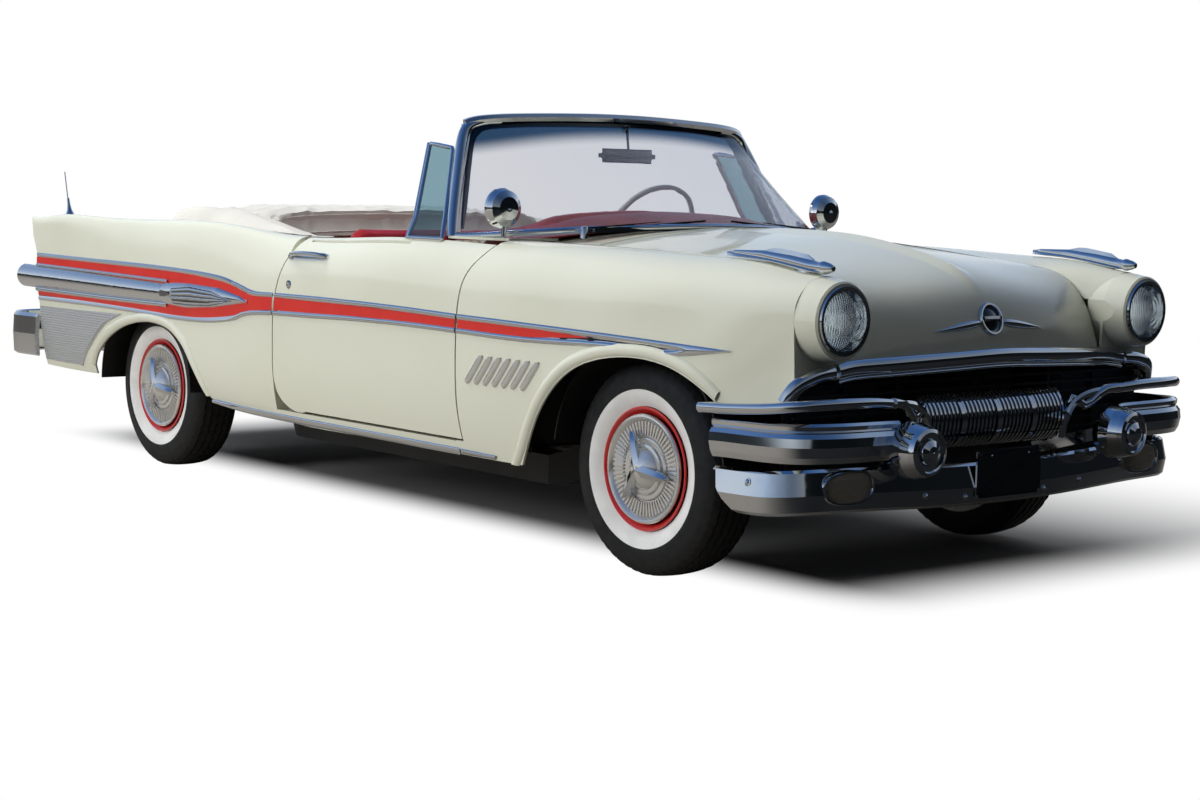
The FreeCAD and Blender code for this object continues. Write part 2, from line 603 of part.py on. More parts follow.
suspension = cut(fuse(tower, upper_arm, lower_arm), pin_hole)
pads = [box(s - 30, s + 30, w - 30, w + 30, low - 4, high)
        for s, w, low, high in [(-900, 580, 292, 306), (-1600, 580, 292, 306),
                                (-2300, 580, 292, 306), (-2800, 500, 490, 514),
                                (-3450, 500, 490, 514), (-3960, 500, 430, 446)]]
side_frame = fuse(rail, suspension, *pads)
frame = fuse(side_frame, mirror(side_frame), *cross)
NODES["frame"] = frame

# Floor pan, toe board and rear footwell step
FLOOR = 312.0
FLOOR_SHEET = 6.0
pan_top = [(-868, FLOOR), (-2180, FLOOR), (-2270, 440), (-2600, 440), (-2650, 520),
           (-3660, 520), (-3760, 452), (-4112, 452)]
pan = side_prism(pan_top + [(s, z - FLOOR_SHEET) for s, z in reversed(pan_top)], -845, 845)
pan = cut(pan, box(-4200, -2600, 612, FAR, 0, 900), box(-4200, -2600, -FAR, -612, 0, 900))
toe_board = side_prism([(-708, 560), (-870, FLOOR), (-870, FLOOR - FLOOR_SHEET),
                        (-880, FLOOR - FLOOR_SHEET), (-880, FLOOR - 1), (-714, 566),
                        (-708, 566)], -740, 740)
tunnel = front_prism([(-150, 300), (-110, 380), (110, 380), (150, 300), (142, 300),
                      (104, 374), (-104, 374), (-142, 300)], -800, -2262)
tunnel_room = front_prism([(-142, 290), (-104, 374), (104, 374), (142, 290)], -700, -2290)
deck_below = lengthwise_band(DECK_PROFILES, DECK_MARKS, 160)
bulkhead_top = cut(box(-2646, -2640, -612, 612, 900, 1100).common(deck_below),
                   NODES["rear_deck"])
bulkhead = fuse(box(-2646, -2640, -612, 612, 510, 910), bulkhead_top)
floor_all = fuse(cut(fuse(pan, toe_board), tunnel_room), tunnel, bulkhead)
house = ring([(388, 0), (394, 0), (394, 308), (388, 308)],
             at(-WHEELBASE, 920, AXLE_Z), V(0, 1, 0))
house_wall = ring([(0, 302), (394, 302), (394, 308), (0, 308)],
                  at(-WHEELBASE, 920, AXLE_Z), V(0, 1, 0))
arch_room = box(-4000, -2000, 500, 1000, 350, 900)
wheelhouse = fuse(house, house_wall).common(arch_room)
wheelhouse = cut(wheelhouse, box(-WHEELBASE - 60, -WHEELBASE + 60, 600, 630, 300, 440))
NODES["floor"] = floor_all

# Inner fenders around the front wheels
apron_arc = ring([(406, 0), (412, 0), (412, 420), (406, 420)], at(0, 900, AXLE_Z),
                 V(0, 1, 0))
apron_wall = ring([(0, 414), (412, 414), (412, 420), (0, 420)], at(0, 900, AXLE_Z),
                  V(0, 1, 0))
apron = fuse(apron_arc, apron_wall).common(box(-420, 420, 470, 880, 400, 800))
apron = cut(apron, box(-130, 130, 470, 520, 300, 520))
apron = fuse(apron, box(-700, 470, 480, 486, 520, 900))
NODES["wheelhouses"] = both(apron, wheelhouse)

# Engine, radiator and driveline
engine = fuse(box(-560, 150, -200, 200, 336 + SEAT, 620),
              plan_prism([(-540, -270), (-540, 270), (140, 270), (140, -270)], 620, 790),
              cylinder(170, at(-330, 0, 790), at(-330, 0, 880)),
              cylinder(80, at(-860, 0, 288), at(-540, 0, 300)),
              box(-580, -520, -100, 100, 300, 400))
NODES["engine"] = engine
radiator = fuse(box(452, 510, -320, 320, 420 + SEAT, 830), box(462, 500, -200, 200, 830, 860))
NODES["radiator"] = radiator
axle_tube = fuse(cylinder(38, at(-WHEELBASE, -660, AXLE_Z), at(-WHEELBASE, 660, AXLE_Z)),
                 cylinder(SPINDLE_RADIUS, at(-WHEELBASE, -WHEEL_W - 18, AXLE_Z),
                          at(-WHEELBASE, WHEEL_W + 18, AXLE_Z)),
                 Part.makeSphere(118, at(-WHEELBASE, 0, AXLE_Z)))
NODES["rear_axle"] = axle_tube
spring_line = [(-2560, 285), (-2800, 245), (-3150, 228), (-3500, 260), (-3800, 330)]
spring_top = [at(s, 500, z + 26) for s, z in spring_line]
spring_low = [at(s, 500, z) for s, z in spring_line]
spring_wire = Part.Wire([spline(spring_top), Part.makeLine(spring_top[-1], spring_low[-1]),
                         spline(spring_low), Part.makeLine(spring_low[0], spring_top[0])])
leaf = Part.Face(spring_wire).extrude(V(0, 60, 0))
hanger = fuse(box(-2585, -2545, 450, 500, 270, 420), box(-3815, -3785, 450, 500, 330, 400))
saddle = box(-3190, -3110, 442, 498, 254, AXLE_Z - 38)
NODES["leaf_springs"] = both(cut(fuse(leaf, hanger, saddle), frame))
shaft = cylinder(30, at(-855, 0, 288), at(-WHEELBASE + 100, 0, 340))
NODES["propeller_shaft"] = cut(shaft, axle_tube, engine)
exhaust_pipe = bar_loft([at(-420, 290, 290), at(-700, 290, 277), at(-2440, 290, 277),
                         at(-2860, 330, 440), at(-3400, 330, 440), at(-3560, 330, 300),
                         at(-4120, 330, 280)],
                        [(-22, -10), (-10, -22), (10, -22), (22, -10), (22, 10), (10, 22),
                         (-10, 22), (-22, 10)], ruled=True)
muffler = bar_loft([at(-3590, 330, 299), at(-3605, 330, 299), at(-3885, 330, 289),
                    at(-3900, 330, 289)],
                   [(-90, -40), (-60, -60), (60, -60), (90, -40), (90, 40), (60, 60),
                    (-60, 60), (-90, 40)], ruled=True)
NODES["exhausts"] = both(fuse(exhaust_pipe, muffler))
tank = bar_loft([at(-3460, 0, 360), at(-3480, 0, 360), at(-3880, 0, 360),
                 at(-3900, 0, 360)],
                [(-200, -70), (-170, -90), (170, -90), (200, -70), (200, 40), (170, 66),
                 (-170, 66), (-200, 40)], ruled=True)
tank_feet = [box(-3560 - d, -3520 - d, -150, 150, 424, 445.5) for d in (0, 260)]
NODES["fuel_tank"] = fuse(tank, *tank_feet)

# Windshield
GLASS_BASE = [(-1071, 811, 1056), (-960, 795, 1060), (-830, 720, 1072), (-700, 560, 1086),
              (-626, 300, 1098), (-600, 0, 1103)]
GLASS_TOP = [(-1208, 672, 1432), (-1196, 640, 1444), (-1182, 590, 1452),
             (-1166, 450, 1462), (-1152, 240, 1470), (-1146, 0, 1474)]
GLASS_THICKNESS = 6.0


def full_run(run, back=0.0, up=0.0):
    """A right-hand run of (s, w, z) points carried on to the left side."""
    right = [at(s - back, w, z + up) for s, w, z in run]
    return right + [V(p.x, -p.y, p.z) for p in reversed(right[:-1])]


def sheet_wire(run, back):
    outer = full_run(run)
    inner = full_run([(s, max(0.0, w - back * 0.7) if w else 0.0, z)
                      for s, w, z in run], back * 0.6)
    marks = [float(i) for i in range(len(outer))]
    return band_wire(outer, inner, marks)


GLASS_LOW = [(s, w, z) for s, w, z in GLASS_BASE]
glass = Part.makeLoft([sheet_wire(GLASS_LOW, GLASS_THICKNESS),
                       sheet_wire(GLASS_TOP, GLASS_THICKNESS)], True)
header_run = full_run(GLASS_TOP, 4, 12)
header = bar_loft(header_run, [(-16, -14), (14, -14), (20, 0), (14, 14), (-10, 16),
                               (-22, 4)])
base_run = full_run(GLASS_BASE, 0, -8)
sill_bar = bar_loft(base_run, [(-14, -12), (16, -12), (14, 6), (4, 12), (-14, 8)])
post_run = [at(-1071, 808, 1046), at(-1110, 775, 1150), at(-1160, 724, 1300),
            at(-1208, 668, 1440)]
post = bar_loft(post_run, [(-14, -12), (12, -12), (18, 0), (12, 13), (-14, 13)],
                V(1, 0, 0))
glass_frame = cut(fuse(header, sill_bar, post, mirror(post)), NODES["cowl"])
glass_frame = max(glass_frame.Solids, key=lambda x: x.Volume)
NODES["windshield_frame"] = glass_frame
glass = cut(glass, glass_frame, NODES["cowl"])
NODES["windshield_glass"] = max(glass.Solids, key=lambda x: x.Volume)

# Vent windows on the doors
vent = bar_loft([at(-1085, 858, 1034), at(-1120, 822, 1100), at(-1230, 710, 1352)],
                [(-6, -8), (6, -8), (6, 8), (-6, 8)], V(1, 0, 0))
vent_rear = bar_loft([at(-1290, 858, 1034), at(-1296, 820, 1100), at(-1372, 708, 1372)],
                     [(-6, -8), (6, -8), (6, 8), (-6, 8)], V(1, 0, 0))
vent_top = bar_loft([at(-1226, 711, 1350), at(-1376, 707, 1374)],
                    [(-6, -6), (6, -6), (6, 6), (-6, 6)])
vent_pane = Part.makeLoft([polygon([at(-1092, 857, 1036), at(-1284, 857, 1036),
                                    at(-1284, 861, 1036), at(-1092, 861, 1036)]),
                           polygon([at(-1230, 708, 1350), at(-1366, 706, 1370),
                                    at(-1366, 710, 1370), at(-1230, 712, 1350)])], True)
vent_frame = fuse(vent, vent_rear, vent_top)
vent_frame = cut(vent_frame, NODES["door_right"], glass_frame)
vent_window = fuse(max(vent_frame.Solids, key=lambda s: s.Volume), vent_pane)
vent_window = cut(vent_window, box(-1400, -1000, 700, 1000, 900, DOOR_TOP))
NODES["vent_window_right"] = vent_window
NODES["vent_window_left"] = mirror(vent_window)

# Dashboard, steering column and steering wheel
dash = side_prism([(-800, 1030), (-960, 1044), (-1005, 1020), (-1010, 960), (-985, 900),
                   (-960, 800), (-800, 800)], -740, 740)
column_top = V(FRONT_AXLE_X - 1392, 400, 1025)
column_foot = V(FRONT_AXLE_X - 719, 400, 659)
column_axis = (column_top - column_foot).normalize()
column = cylinder(22, column_foot, column_top)
column = fuse(column, cylinder(32, column_top - column_axis * 200, column_top))
NODES["steering_column"] = column
dash = cut(dash, cylinder(32 + SEAT, column_foot, column_top), NODES["cowl"],
           NODES["firewall"])
NODES["dashboard"] = max(dash.Solids, key=lambda x: x.Volume)
STEER_RADIUS = 215.0
wheel_centre = column_top + column_axis * 40
steer_rim = Part.makeTorus(STEER_RADIUS, 11, wheel_centre, column_axis)
hub = cylinder(36, column_top + column_axis * SEAT, column_top + column_axis * 46)
across_spoke = V(0, 1, 0)
spokes = [cylinder(9, wheel_centre, wheel_centre + d * (STEER_RADIUS - 5))
          for d in (across_spoke, across_spoke * -1)]
NODES["steering_wheel"] = fuse(steer_rim, hub, *spokes)

# Seats, as plain solids under their upholstery
seat_floor = FLOOR + SEAT
front_cushion = side_prism([(-1390, seat_floor), (-1370, 560), (-1440, 590), (-1900, 560),
                            (-1900, seat_floor)], -700, 700)
front_cushion = cut(front_cushion, box(-2000, -1300, -151, 151, 300, 380 + SEAT))
front_back = side_prism([(-1900, 560), (-1860, 600), (-2010, 1040), (-2050, 1052),
                         (-2095, 1030), (-1990, 400), (-1900, 400)], -700, 700)
NODES["front_seat"] = fuse(front_cushion, front_back)
seat_pan = 440 + SEAT
rear_cushion = side_prism([(-2272, seat_pan), (-2240, 600), (-2300, 630), (-2560, 600),
                           (-2560, seat_pan)], -640, 640)
rear_back = side_prism([(-2480, 600), (-2440, 1030), (-2470, 1052), (-2540, 1040),
                        (-2612, 990), (-2595, seat_pan), (-2560, seat_pan),
                        (-2560, 610)], -640, 640)
NODES["rear_seat"] = fuse(rear_cushion, rear_back)

# Folded top under its boot
def boot_wire(s, half, low, edge, crown):
    pts = [V(FRONT_AXLE_X + s, y, z) for y, z in
           [(-half, edge), (-half * 0.6, crown - 6), (0, crown), (half * 0.6, crown - 6),
            (half, edge)]]
    return Part.Wire([spline(pts, [0.0, 0.3, 0.5, 0.7, 1.0]),
                      Part.makeLine(pts[-1], V(FRONT_AXLE_X + s, half, low)),
                      Part.makeLine(V(FRONT_AXLE_X + s, half, low),
                                    V(FRONT_AXLE_X + s, -half, low)),
                      Part.makeLine(V(FRONT_AXLE_X + s, -half, low), pts[0])])


boot = Part.makeLoft([boot_wire(-2490, 660, 1000, 1062, 1098),
                      boot_wire(-2600, 700, 1000, 1066, 1112),
                      boot_wire(-2850, 700, 1000, 1070, 1116),
                      boot_wire(-3040, 680, 1000, 1062, 1100),
                      boot_wire(-3110, 630, 1000, 1046, 1078)], True)


def raised(shape, up):
    copy = shape.copy()
    copy.translate(V(0, 0, up))
    return copy


boot = cut(boot, raised(deck_below, SEAT), raised(MASS, SEAT), mirror(raised(MASS, SEAT)),
           box(-2612, -2400, -FAR, FAR, 900, 1056))
boot = max(boot.Solids, key=lambda x: x.Volume)
NODES["top_boot"] = boot

# Front bumper: upper bars, main bars, round guards and the lower pan
PLATE_WIDTH = 305.0
PLATE_PITCH = 178.0
PLATE_HOLE = 3.5
PLATE_HOLE_Z = 424.0
upper_bar = sweep([at(352, 938, 580), at(500, 942, 588), at(640, 938, 600),
                   at(738, 900, 613), at(776, 800, 618), at(780, 652, 616),
                   at(762, 522, 604), at(744, 411, 590), at(735, 364, 566),
                   at(732, 336, 530)],
                  [(0, -13), (9, -8), (10, 4), (5, 13), (-10, 13), (-16, 4), (-12, -10)],
                  22)
main_bar = sweep([at(412, 934, 494), at(540, 936, 498), at(660, 930, 500),
                  at(750, 896, 503), at(792, 820, 504), at(798, 700, 502),
                  at(790, 530, 498)],
                 [(0, -56), (10, -38), (16, -8), (13, 18), (3, 31), (-3, 34), (2, 40),
                  (3, 52), (-5, 60), (-14, 54), (-9, 34), (-6, 0), (-10, -48)], 16)
pod_axis = V(1, -0.04, 0)
pod = ring([(0, 0), (52, 8), (78, 28), (87, 54), (84, 88), (76, 118), (71, 134), (61, 138),
            (57, 130), (42, 130), (38, 140), (20, 149), (0, 151)], at(745, 488, 470), pod_axis)
lower_pan = sweep([at(424, 926, 336), at(540, 930, 340), at(660, 916, 345), at(716, 860, 350),
             at(728, 740, 348), at(732, 600, 344), at(740, 400, 336), at(744, 200, 330),
             at(745, 0, 328), at(744, -200, 330), at(740, -400, 336), at(732, -600, 344),
             at(728, -740, 348), at(716, -860, 350), at(660, -916, 345),
             at(540, -930, 340), at(424, -926, 336)],
            [(4, -58), (16, -48), (24, 0), (10, 66), (0, 74), (-6, 62), (8, 0),
             (-6, -52)], 44)
pan_corner = side_prism([(380, 400), (431, 400), (444, 350), (470, 318), (520, 286),
                         (570, 270), (570, 240), (380, 240)], 850, 1000)
lower_pan = cut(lower_pan, pan_corner, mirror(pan_corner))
main_iron = bar_loft([at(560, 385, 400), at(755, 470, 462)],
                     [(-14, -20), (14, -20), (14, 20), (-14, 20)], ruled=True)
main_iron = cut(main_iron, box(400, 560, 300, 500, 300, 500))
pan_iron = box(560, 752, 330, 370, 332, 350)
plate_bracket = box(768, 774, -PLATE_WIDTH / 2, PLATE_WIDTH / 2, 296, 440)
plate_arms = [box(748, 770, w - 10, w + 10, 318, 338) for w in (-60, 60)]
plate_holes = [cylinder(PLATE_HOLE, at(760, w, PLATE_HOLE_Z), at(780, w, PLATE_HOLE_Z))
               for w in (-PLATE_PITCH / 2, PLATE_PITCH / 2)]
plate_bracket = cut(fuse(plate_bracket, *plate_arms), *plate_holes)
half_bumper = fuse(main_bar, pod, main_iron, pan_iron)
front_bumper = fuse(half_bumper, mirror(half_bumper), lower_pan, plate_bracket)
front_bumper = fuse(front_bumper, upper_bar, mirror(upper_bar))
NODES["front_bumper"] = front_bumper

# Ribbed grille barrel between the round guards
BARREL_HALF = 336.0
BARREL_LOW = 444.0
BARREL_HIGH = 613.0
BARREL_S = 676.0
BARREL_BULGE = 42.0
RIB_PITCH = 19.0
RIB_WIDTH = 8.0
RIB_RISE = 7.0


def barrel_slice(w0, w1, rise):
    middle = (BARREL_LOW + BARREL_HIGH) / 2
    low = at(BARREL_S, w1, BARREL_LOW)
    high = at(BARREL_S, w1, BARREL_HIGH)
    arc = Part.Arc(low, at(BARREL_S + BARREL_BULGE + rise, w1, middle), high).toShape()
    face = Part.Face(Part.Wire([arc, Part.makeLine(high, low)]))
    return face.extrude(V(0, w1 - w0, 0))


ribs = []
count = int(2 * BARREL_HALF / RIB_PITCH)
for i in range(count):
    w = (i - (count - 1) / 2) * RIB_PITCH
    divider = abs(i - (count - 1) / 2) % 9 < 0.6 and i not in (0, count - 1)
    half = RIB_WIDTH if divider else RIB_WIDTH / 2
    ribs.append(barrel_slice(w - half, w + half, RIB_RISE + (6 if divider else 0)))
barrel = fuse(barrel_slice(-BARREL_HALF, BARREL_HALF, 0), *ribs)
NODES["grille"] = cut(barrel, front_bumper)
back_bars = [box(630, 640, -826, 826, z, z + 8) for z in (470, 500, 530, 560, 590, 620,
                                                          650)]
posts = [box(622, 630, w - 8, w + 8, 430, 672) for w in (-600, -360, 0, 360, 600)]
posts += [box(520, 630, w - 8, w + 8, 430, 440) for w in (-360, 360)]
NODES["grille_bars"] = cut(fuse(back_bars[0], *back_bars[1:], *posts), NODES["grille"],
                           front_bumper)

# Bright visor along the hood's nose: ends on the fenders, middle on the hood
lip_points = [at(640, 862, 600), at(668, 822, 672), at(672, 760, 686),
              at(664, 697, 690), at(666, 600, 700), at(692, 439, 708), at(712, 212, 716),
              at(722, 0, 722)]
lip_run = lip_points + [V(p.x, -p.y, p.z) for p in reversed(lip_points[:-1])]
lip = sweep(lip_run, [(-8, -16), (10, -14), (18, -4), (12, 6), (-8, 14), (-18, 10),
                      (-18, -12)], 44)
middle = box(500, 900, -HOOD_HALF + 1, HOOD_HALF - 1, 500, 900)
outer = box(500, 900, HOOD_HALF + SEAM_GAP - 1, FAR, 500, 900)
NODES["hood_visor"] = cut(lip.common(middle), NODES["hood"])
visor_end = cut(lip.common(outer), fender)
NODES["visor_ends"] = both(max(visor_end.Solids, key=lambda x: x.Volume))

# Headlamps
lamp_face = at(0, LAMP_W, LAMP_Z)
bezel = ring([(LAMP_BORE - SEAT, 640), (LAMP_BORE - SEAT, 736 + SEAT),
              (104, 736 + SEAT), (102, 742), (90, 740), (88, 700), (90, 640)],
             lamp_face, V(1, 0, 0))
bezel = cut(bezel, fender)
NODES["headlamp_bezels"] = both(bezel)
lens = ring([(0, 690), (0, 722), (40, 719), (70, 710), (88 - SEAT, 700),
             (88 - SEAT, 690)], lamp_face, V(1, 0, 0))
bowl = ring([(0, 600), (40, 604), (70, 630), (88 - SEAT, 690 - SEAT), (0, 690 - SEAT)],
            lamp_face, V(1, 0, 0))
NODES["headlamp_lenses"] = both(lens, bowl)

# Parking lamps in the lower pan
PARKING_W = 702.0
PARKING_Z = 366.0
PARKING_HALF_WIDTH = 104.0
PARKING_HALF_HEIGHT = 51.0


def oval_wire(s, share, extra=0.0):
    """An upright oval across the car, a share of the parking lamp's outline."""
    oval = Part.Ellipse(V(0, 0, 0), PARKING_HALF_WIDTH * share + extra,
                        PARKING_HALF_HEIGHT * share + extra)
    wire = Part.Wire([oval.toShape()])
    wire.rotate(V(0, 0, 0), V(1, 0, 0), 90)
    wire.rotate(V(0, 0, 0), V(0, 0, 1), 90)
    wire.translate(at(s, PARKING_W, PARKING_Z))
    return wire


parking = Part.makeLoft([oval_wire(700, 1.0), oval_wire(748, 1.0), oval_wire(758, 0.9),
                         oval_wire(764, 0.66)], True, True)
parking_hole = Part.makeLoft([oval_wire(600, 1.0, SEAT), oval_wire(900, 1.0, SEAT)], True)
NODES["front_bumper"] = cut(front_bumper, parking_hole, mirror(parking_hole))
NODES["parking_lamps"] = both(parking)

# Side pods that end in the tail lamps
POD_LINE = [(-2219, 752, 14), (-2500, 753, 34), (-2930, 753, 47), (-3487, 759, 52),
            (-4140, 766, 54), (-4290, 768, 54)]
POD_W = 934.0
pod_wires = []
for s, z, r in POD_LINE:
    circle = Part.makeCircle(r, at(s, POD_W - r * 0.35, z), V(1, 0, 0))
    pod_wires.append(Part.Wire([circle]))
side_pod = Part.makeLoft(pod_wires, True)
side_pod = cut(side_pod, MASS)
side_pod = max(side_pod.Solids, key=lambda x: x.Volume)
NODES["side_pods"] = both(side_pod)
lamp_lens = ring([(0, 0), (0, -30), (30, -24), (50, -4), (50, 0)],
                 at(-4290 - SEAT, POD_W - 54 * 0.35, 768), V(1, 0, 0))
NODES["tail_lamps"] = both(lamp_lens)

# Rear bumper
rear_bar = sweep([at(-4140, 928, 500), at(-4280, 930, 500), at(-4400, 916, 500),
                  at(-4462, 850, 500), at(-4480, 700, 500), at(-4485, 400, 500),
                  at(-4486, 0, 500), at(-4485, -400, 500), at(-4480, -700, 500),
                  at(-4462, -850, 500), at(-4400, -916, 500), at(-4280, -930, 500),
                  at(-4140, -928, 500)],
                 [(-4, -100), (-18, -90), (-22, 0), (-18, 80), (-6, 96), (6, 90),
                  (-6, 0), (0, -92)], 40)
rear_irons = [box(-4490, -4080, w - 20, w + 20, 398, 426) for w in (-500, 500)]
NODES["rear_bumper"] = fuse(rear_bar, *rear_irons)

# Door mirrors on the front fenders
mirror_head = ring([(0, 0), (40, 4), (62, 18), (70, 40), (70, 52), (64, 56), (0, 56)],
                   at(-790, 786, 1148), V(-1, 0, 0))
stem = cylinder(9, at(-824, 786, DOOR_TOP + 14), at(-815, 786, 1130))
fender_mirror = fuse(mirror_head, stem)
NODES["mirrors"] = both(cut(fender_mirror, door, fender, NODES["cowl"]))

# Radio antenna on the right rear fender
mast = cylinder(2.5, at(-3928, 880, 1040), at(-3980, 880, 1246))
mast = fuse(mast, cylinder(12, at(-3922, 880, 1040), at(-3930, 880, 1066)))
mast = cut(mast, NODES["quarter_right"])
NODES["antenna"] = max(mast.Solids, key=lambda x: x.Volume)

if __name__ == "__main__":
    os.makedirs("parts", exist_ok=True)
    for name, shape in NODES.items():
        if len(shape.Solids) == 1:
            shape = shape.Solids[0]
        shape.exportStep("parts/" + name + ".step")
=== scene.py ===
import math

import bmesh
import bpy
from mathutils import Matrix, Vector, noise


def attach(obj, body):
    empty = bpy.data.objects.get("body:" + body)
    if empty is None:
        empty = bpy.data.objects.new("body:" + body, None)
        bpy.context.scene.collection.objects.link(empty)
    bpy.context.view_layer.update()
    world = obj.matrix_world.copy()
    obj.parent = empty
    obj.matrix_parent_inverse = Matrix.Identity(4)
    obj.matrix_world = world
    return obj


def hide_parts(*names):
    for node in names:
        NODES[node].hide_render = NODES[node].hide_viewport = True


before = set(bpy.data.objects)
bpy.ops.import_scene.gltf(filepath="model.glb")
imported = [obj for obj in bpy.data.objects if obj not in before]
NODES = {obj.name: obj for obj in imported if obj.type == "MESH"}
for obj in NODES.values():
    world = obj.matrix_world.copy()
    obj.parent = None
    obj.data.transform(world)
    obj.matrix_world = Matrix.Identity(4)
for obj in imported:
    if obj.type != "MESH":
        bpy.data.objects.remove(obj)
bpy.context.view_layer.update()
bpy.ops.object.select_all(action="DESELECT")

# Studio: an endless pale floor, a white surround, soft lamps on the car's right, over its tail and
# before its nose, and a narrow spot on the cabin, as in an outdoor photograph cut out on white.
# Metal sees a pale sky over a dark tree line in a dome that lights nothing.


def linear(hex_colour):
    """A colour written as sRGB hex, as the linear numbers that a shader takes."""
    parts = [int(hex_colour[i:i + 2], 16) / 255 for i in (1, 3, 5)]
    return tuple(c / 12.92 if c <= 0.04045 else ((c + 0.055) / 1.055) ** 2.4 for c in parts) + (1.0,)


def add_node(tree, kind, inputs=(), **settings):
    """Adds a node, gives it its settings, then values or links on its sockets."""
    node = tree.nodes.new(kind)
    for key, value in settings.items():
        setattr(node, key, value)
    for key, value in dict(inputs).items():
        if isinstance(value, bpy.types.NodeSocket):
            tree.links.new(value, node.inputs[key])
        else:
            node.inputs[key].default_value = value
    return node


def start_material(name):
    """An empty material and its node tree."""
    material = bpy.data.materials.new(name)
    material.use_nodes = True
    material.node_tree.nodes.clear()
    return material, material.node_tree


scene = bpy.context.scene
scene.view_settings.view_transform = "Standard"

world = bpy.data.worlds.new("studio")
world.use_nodes = True
scene.world = world
tree = world.node_tree
tree.nodes.clear()
path = add_node(tree, "ShaderNodeLightPath")
seen = add_node(tree, "ShaderNodeMath", {0: path.outputs["Is Camera Ray"], 1: path.outputs["Is Glossy Ray"]},
                operation="MAXIMUM")
seen = add_node(tree, "ShaderNodeMath", {0: seen.outputs[0], 1: path.outputs["Is Transmission Ray"]},
                operation="MAXIMUM")
around = add_node(tree, "ShaderNodeTexCoord")
facing = add_node(tree, "ShaderNodeSeparateXYZ", {0: around.outputs["Generated"]})
level = add_node(tree, "ShaderNodeMapRange", {"Value": facing.outputs["X"], "From Min": -0.6, "From Max": 0.35,
                                              "To Min": 0.95, "To Max": 0.05}, interpolation_type="SMOOTHSTEP")
room_light = add_node(tree, "ShaderNodeBackground", {"Color": linear("#EEF2F8"), "Strength": level.outputs[0]})
white_wall = add_node(tree, "ShaderNodeBackground", {"Color": linear("#FFFFFF"), "Strength": 1.0})
both_walls = add_node(tree, "ShaderNodeMixShader", {0: seen.outputs[0], 1: room_light.outputs[0],
                                                    2: white_wall.outputs[0]})
add_node(tree, "ShaderNodeOutputWorld", {"Surface": both_walls.outputs[0]})

FLOOR = "floor of pale matt plaster"
material, tree = start_material(FLOOR)
path = add_node(tree, "ShaderNodeLightPath")
seen = add_node(tree, "ShaderNodeMath", {0: path.outputs["Is Camera Ray"], 1: path.outputs["Is Transmission Ray"]},
                operation="MAXIMUM")
coords = add_node(tree, "ShaderNodeTexCoord")
split = add_node(tree, "ShaderNodeSeparateXYZ", {0: coords.outputs["Object"]})
# Painted shadow: in a box round the car, shaped to where its shadow falls, the camera sees the floor in grey instead
# of the white glow. The glow fades in outside the box, and the lamps' real shadow lies on that grey as well.
painted_shadow_box = None
for axis, start, end in (("Y", -0.34, -0.74), ("Y", 0.6, 2.8), ("X", 2.18, 2.78), ("X", -2.2, -2.9)):
    inside = add_node(tree, "ShaderNodeMapRange", {"Value": split.outputs[axis], "From Min": start, "From Max": end,
                                                   "To Min": 1.0, "To Max": 0.0}, interpolation_type="SMOOTHSTEP")
    if painted_shadow_box is not None:
        inside = add_node(tree, "ShaderNodeMath", {0: inside.outputs[0], 1: painted_shadow_box.outputs[0]}, operation="MULTIPLY")
    painted_shadow_box = inside
clear_of_painted_shadow = add_node(tree, "ShaderNodeMath", {0: 1.0, 1: painted_shadow_box.outputs[0]}, operation="SUBTRACT")
share = add_node(tree, "ShaderNodeMath", {0: seen.outputs[0], 1: clear_of_painted_shadow.outputs[0]}, operation="MULTIPLY")
# Painted shade: ahead of the nose the floor turns dark for all but camera and transmission rays. It is a dark ground
# that the chrome reflects, and it sends less bounce light onto the nose.
ahead = add_node(tree, "ShaderNodeMapRange", {"Value": split.outputs["X"], "From Min": 2.0, "From Max": 3.2},
                 interpolation_type="SMOOTHSTEP")
floor_tone_with_painted_shade = add_node(tree, "ShaderNodeMix", {0: ahead.outputs[0], 6: linear("#97928A"), 7: linear("#2A2C2E")},
                  data_type="RGBA")
# Painted shadow: the grey that the camera sees inside the shadow box.
floor_tone_with_painted_shade = add_node(tree, "ShaderNodeMix", {0: seen.outputs[0], 6: floor_tone_with_painted_shade.outputs[2], 7: linear("#8C8C8E")},
                  data_type="RGBA")
matt = add_node(tree, "ShaderNodeBsdfDiffuse", {"Color": floor_tone_with_painted_shade.outputs[2]})
lift = add_node(tree, "ShaderNodeEmission", {"Color": linear("#FFFFFF"), "Strength": 1.0})
total = add_node(tree, "ShaderNodeMixShader", {0: share.outputs[0], 1: matt.outputs[0], 2: lift.outputs[0]})
add_node(tree, "ShaderNodeOutputMaterial", {"Surface": total.outputs[0]})
bpy.ops.mesh.primitive_plane_add(size=240, location=(0, 0, -0.001))
floor_plane = bpy.context.object
floor_plane.name = "studio_floor"
bpy.ops.object.transform_apply(location=True, scale=True)
floor_plane.data.materials.append(material)

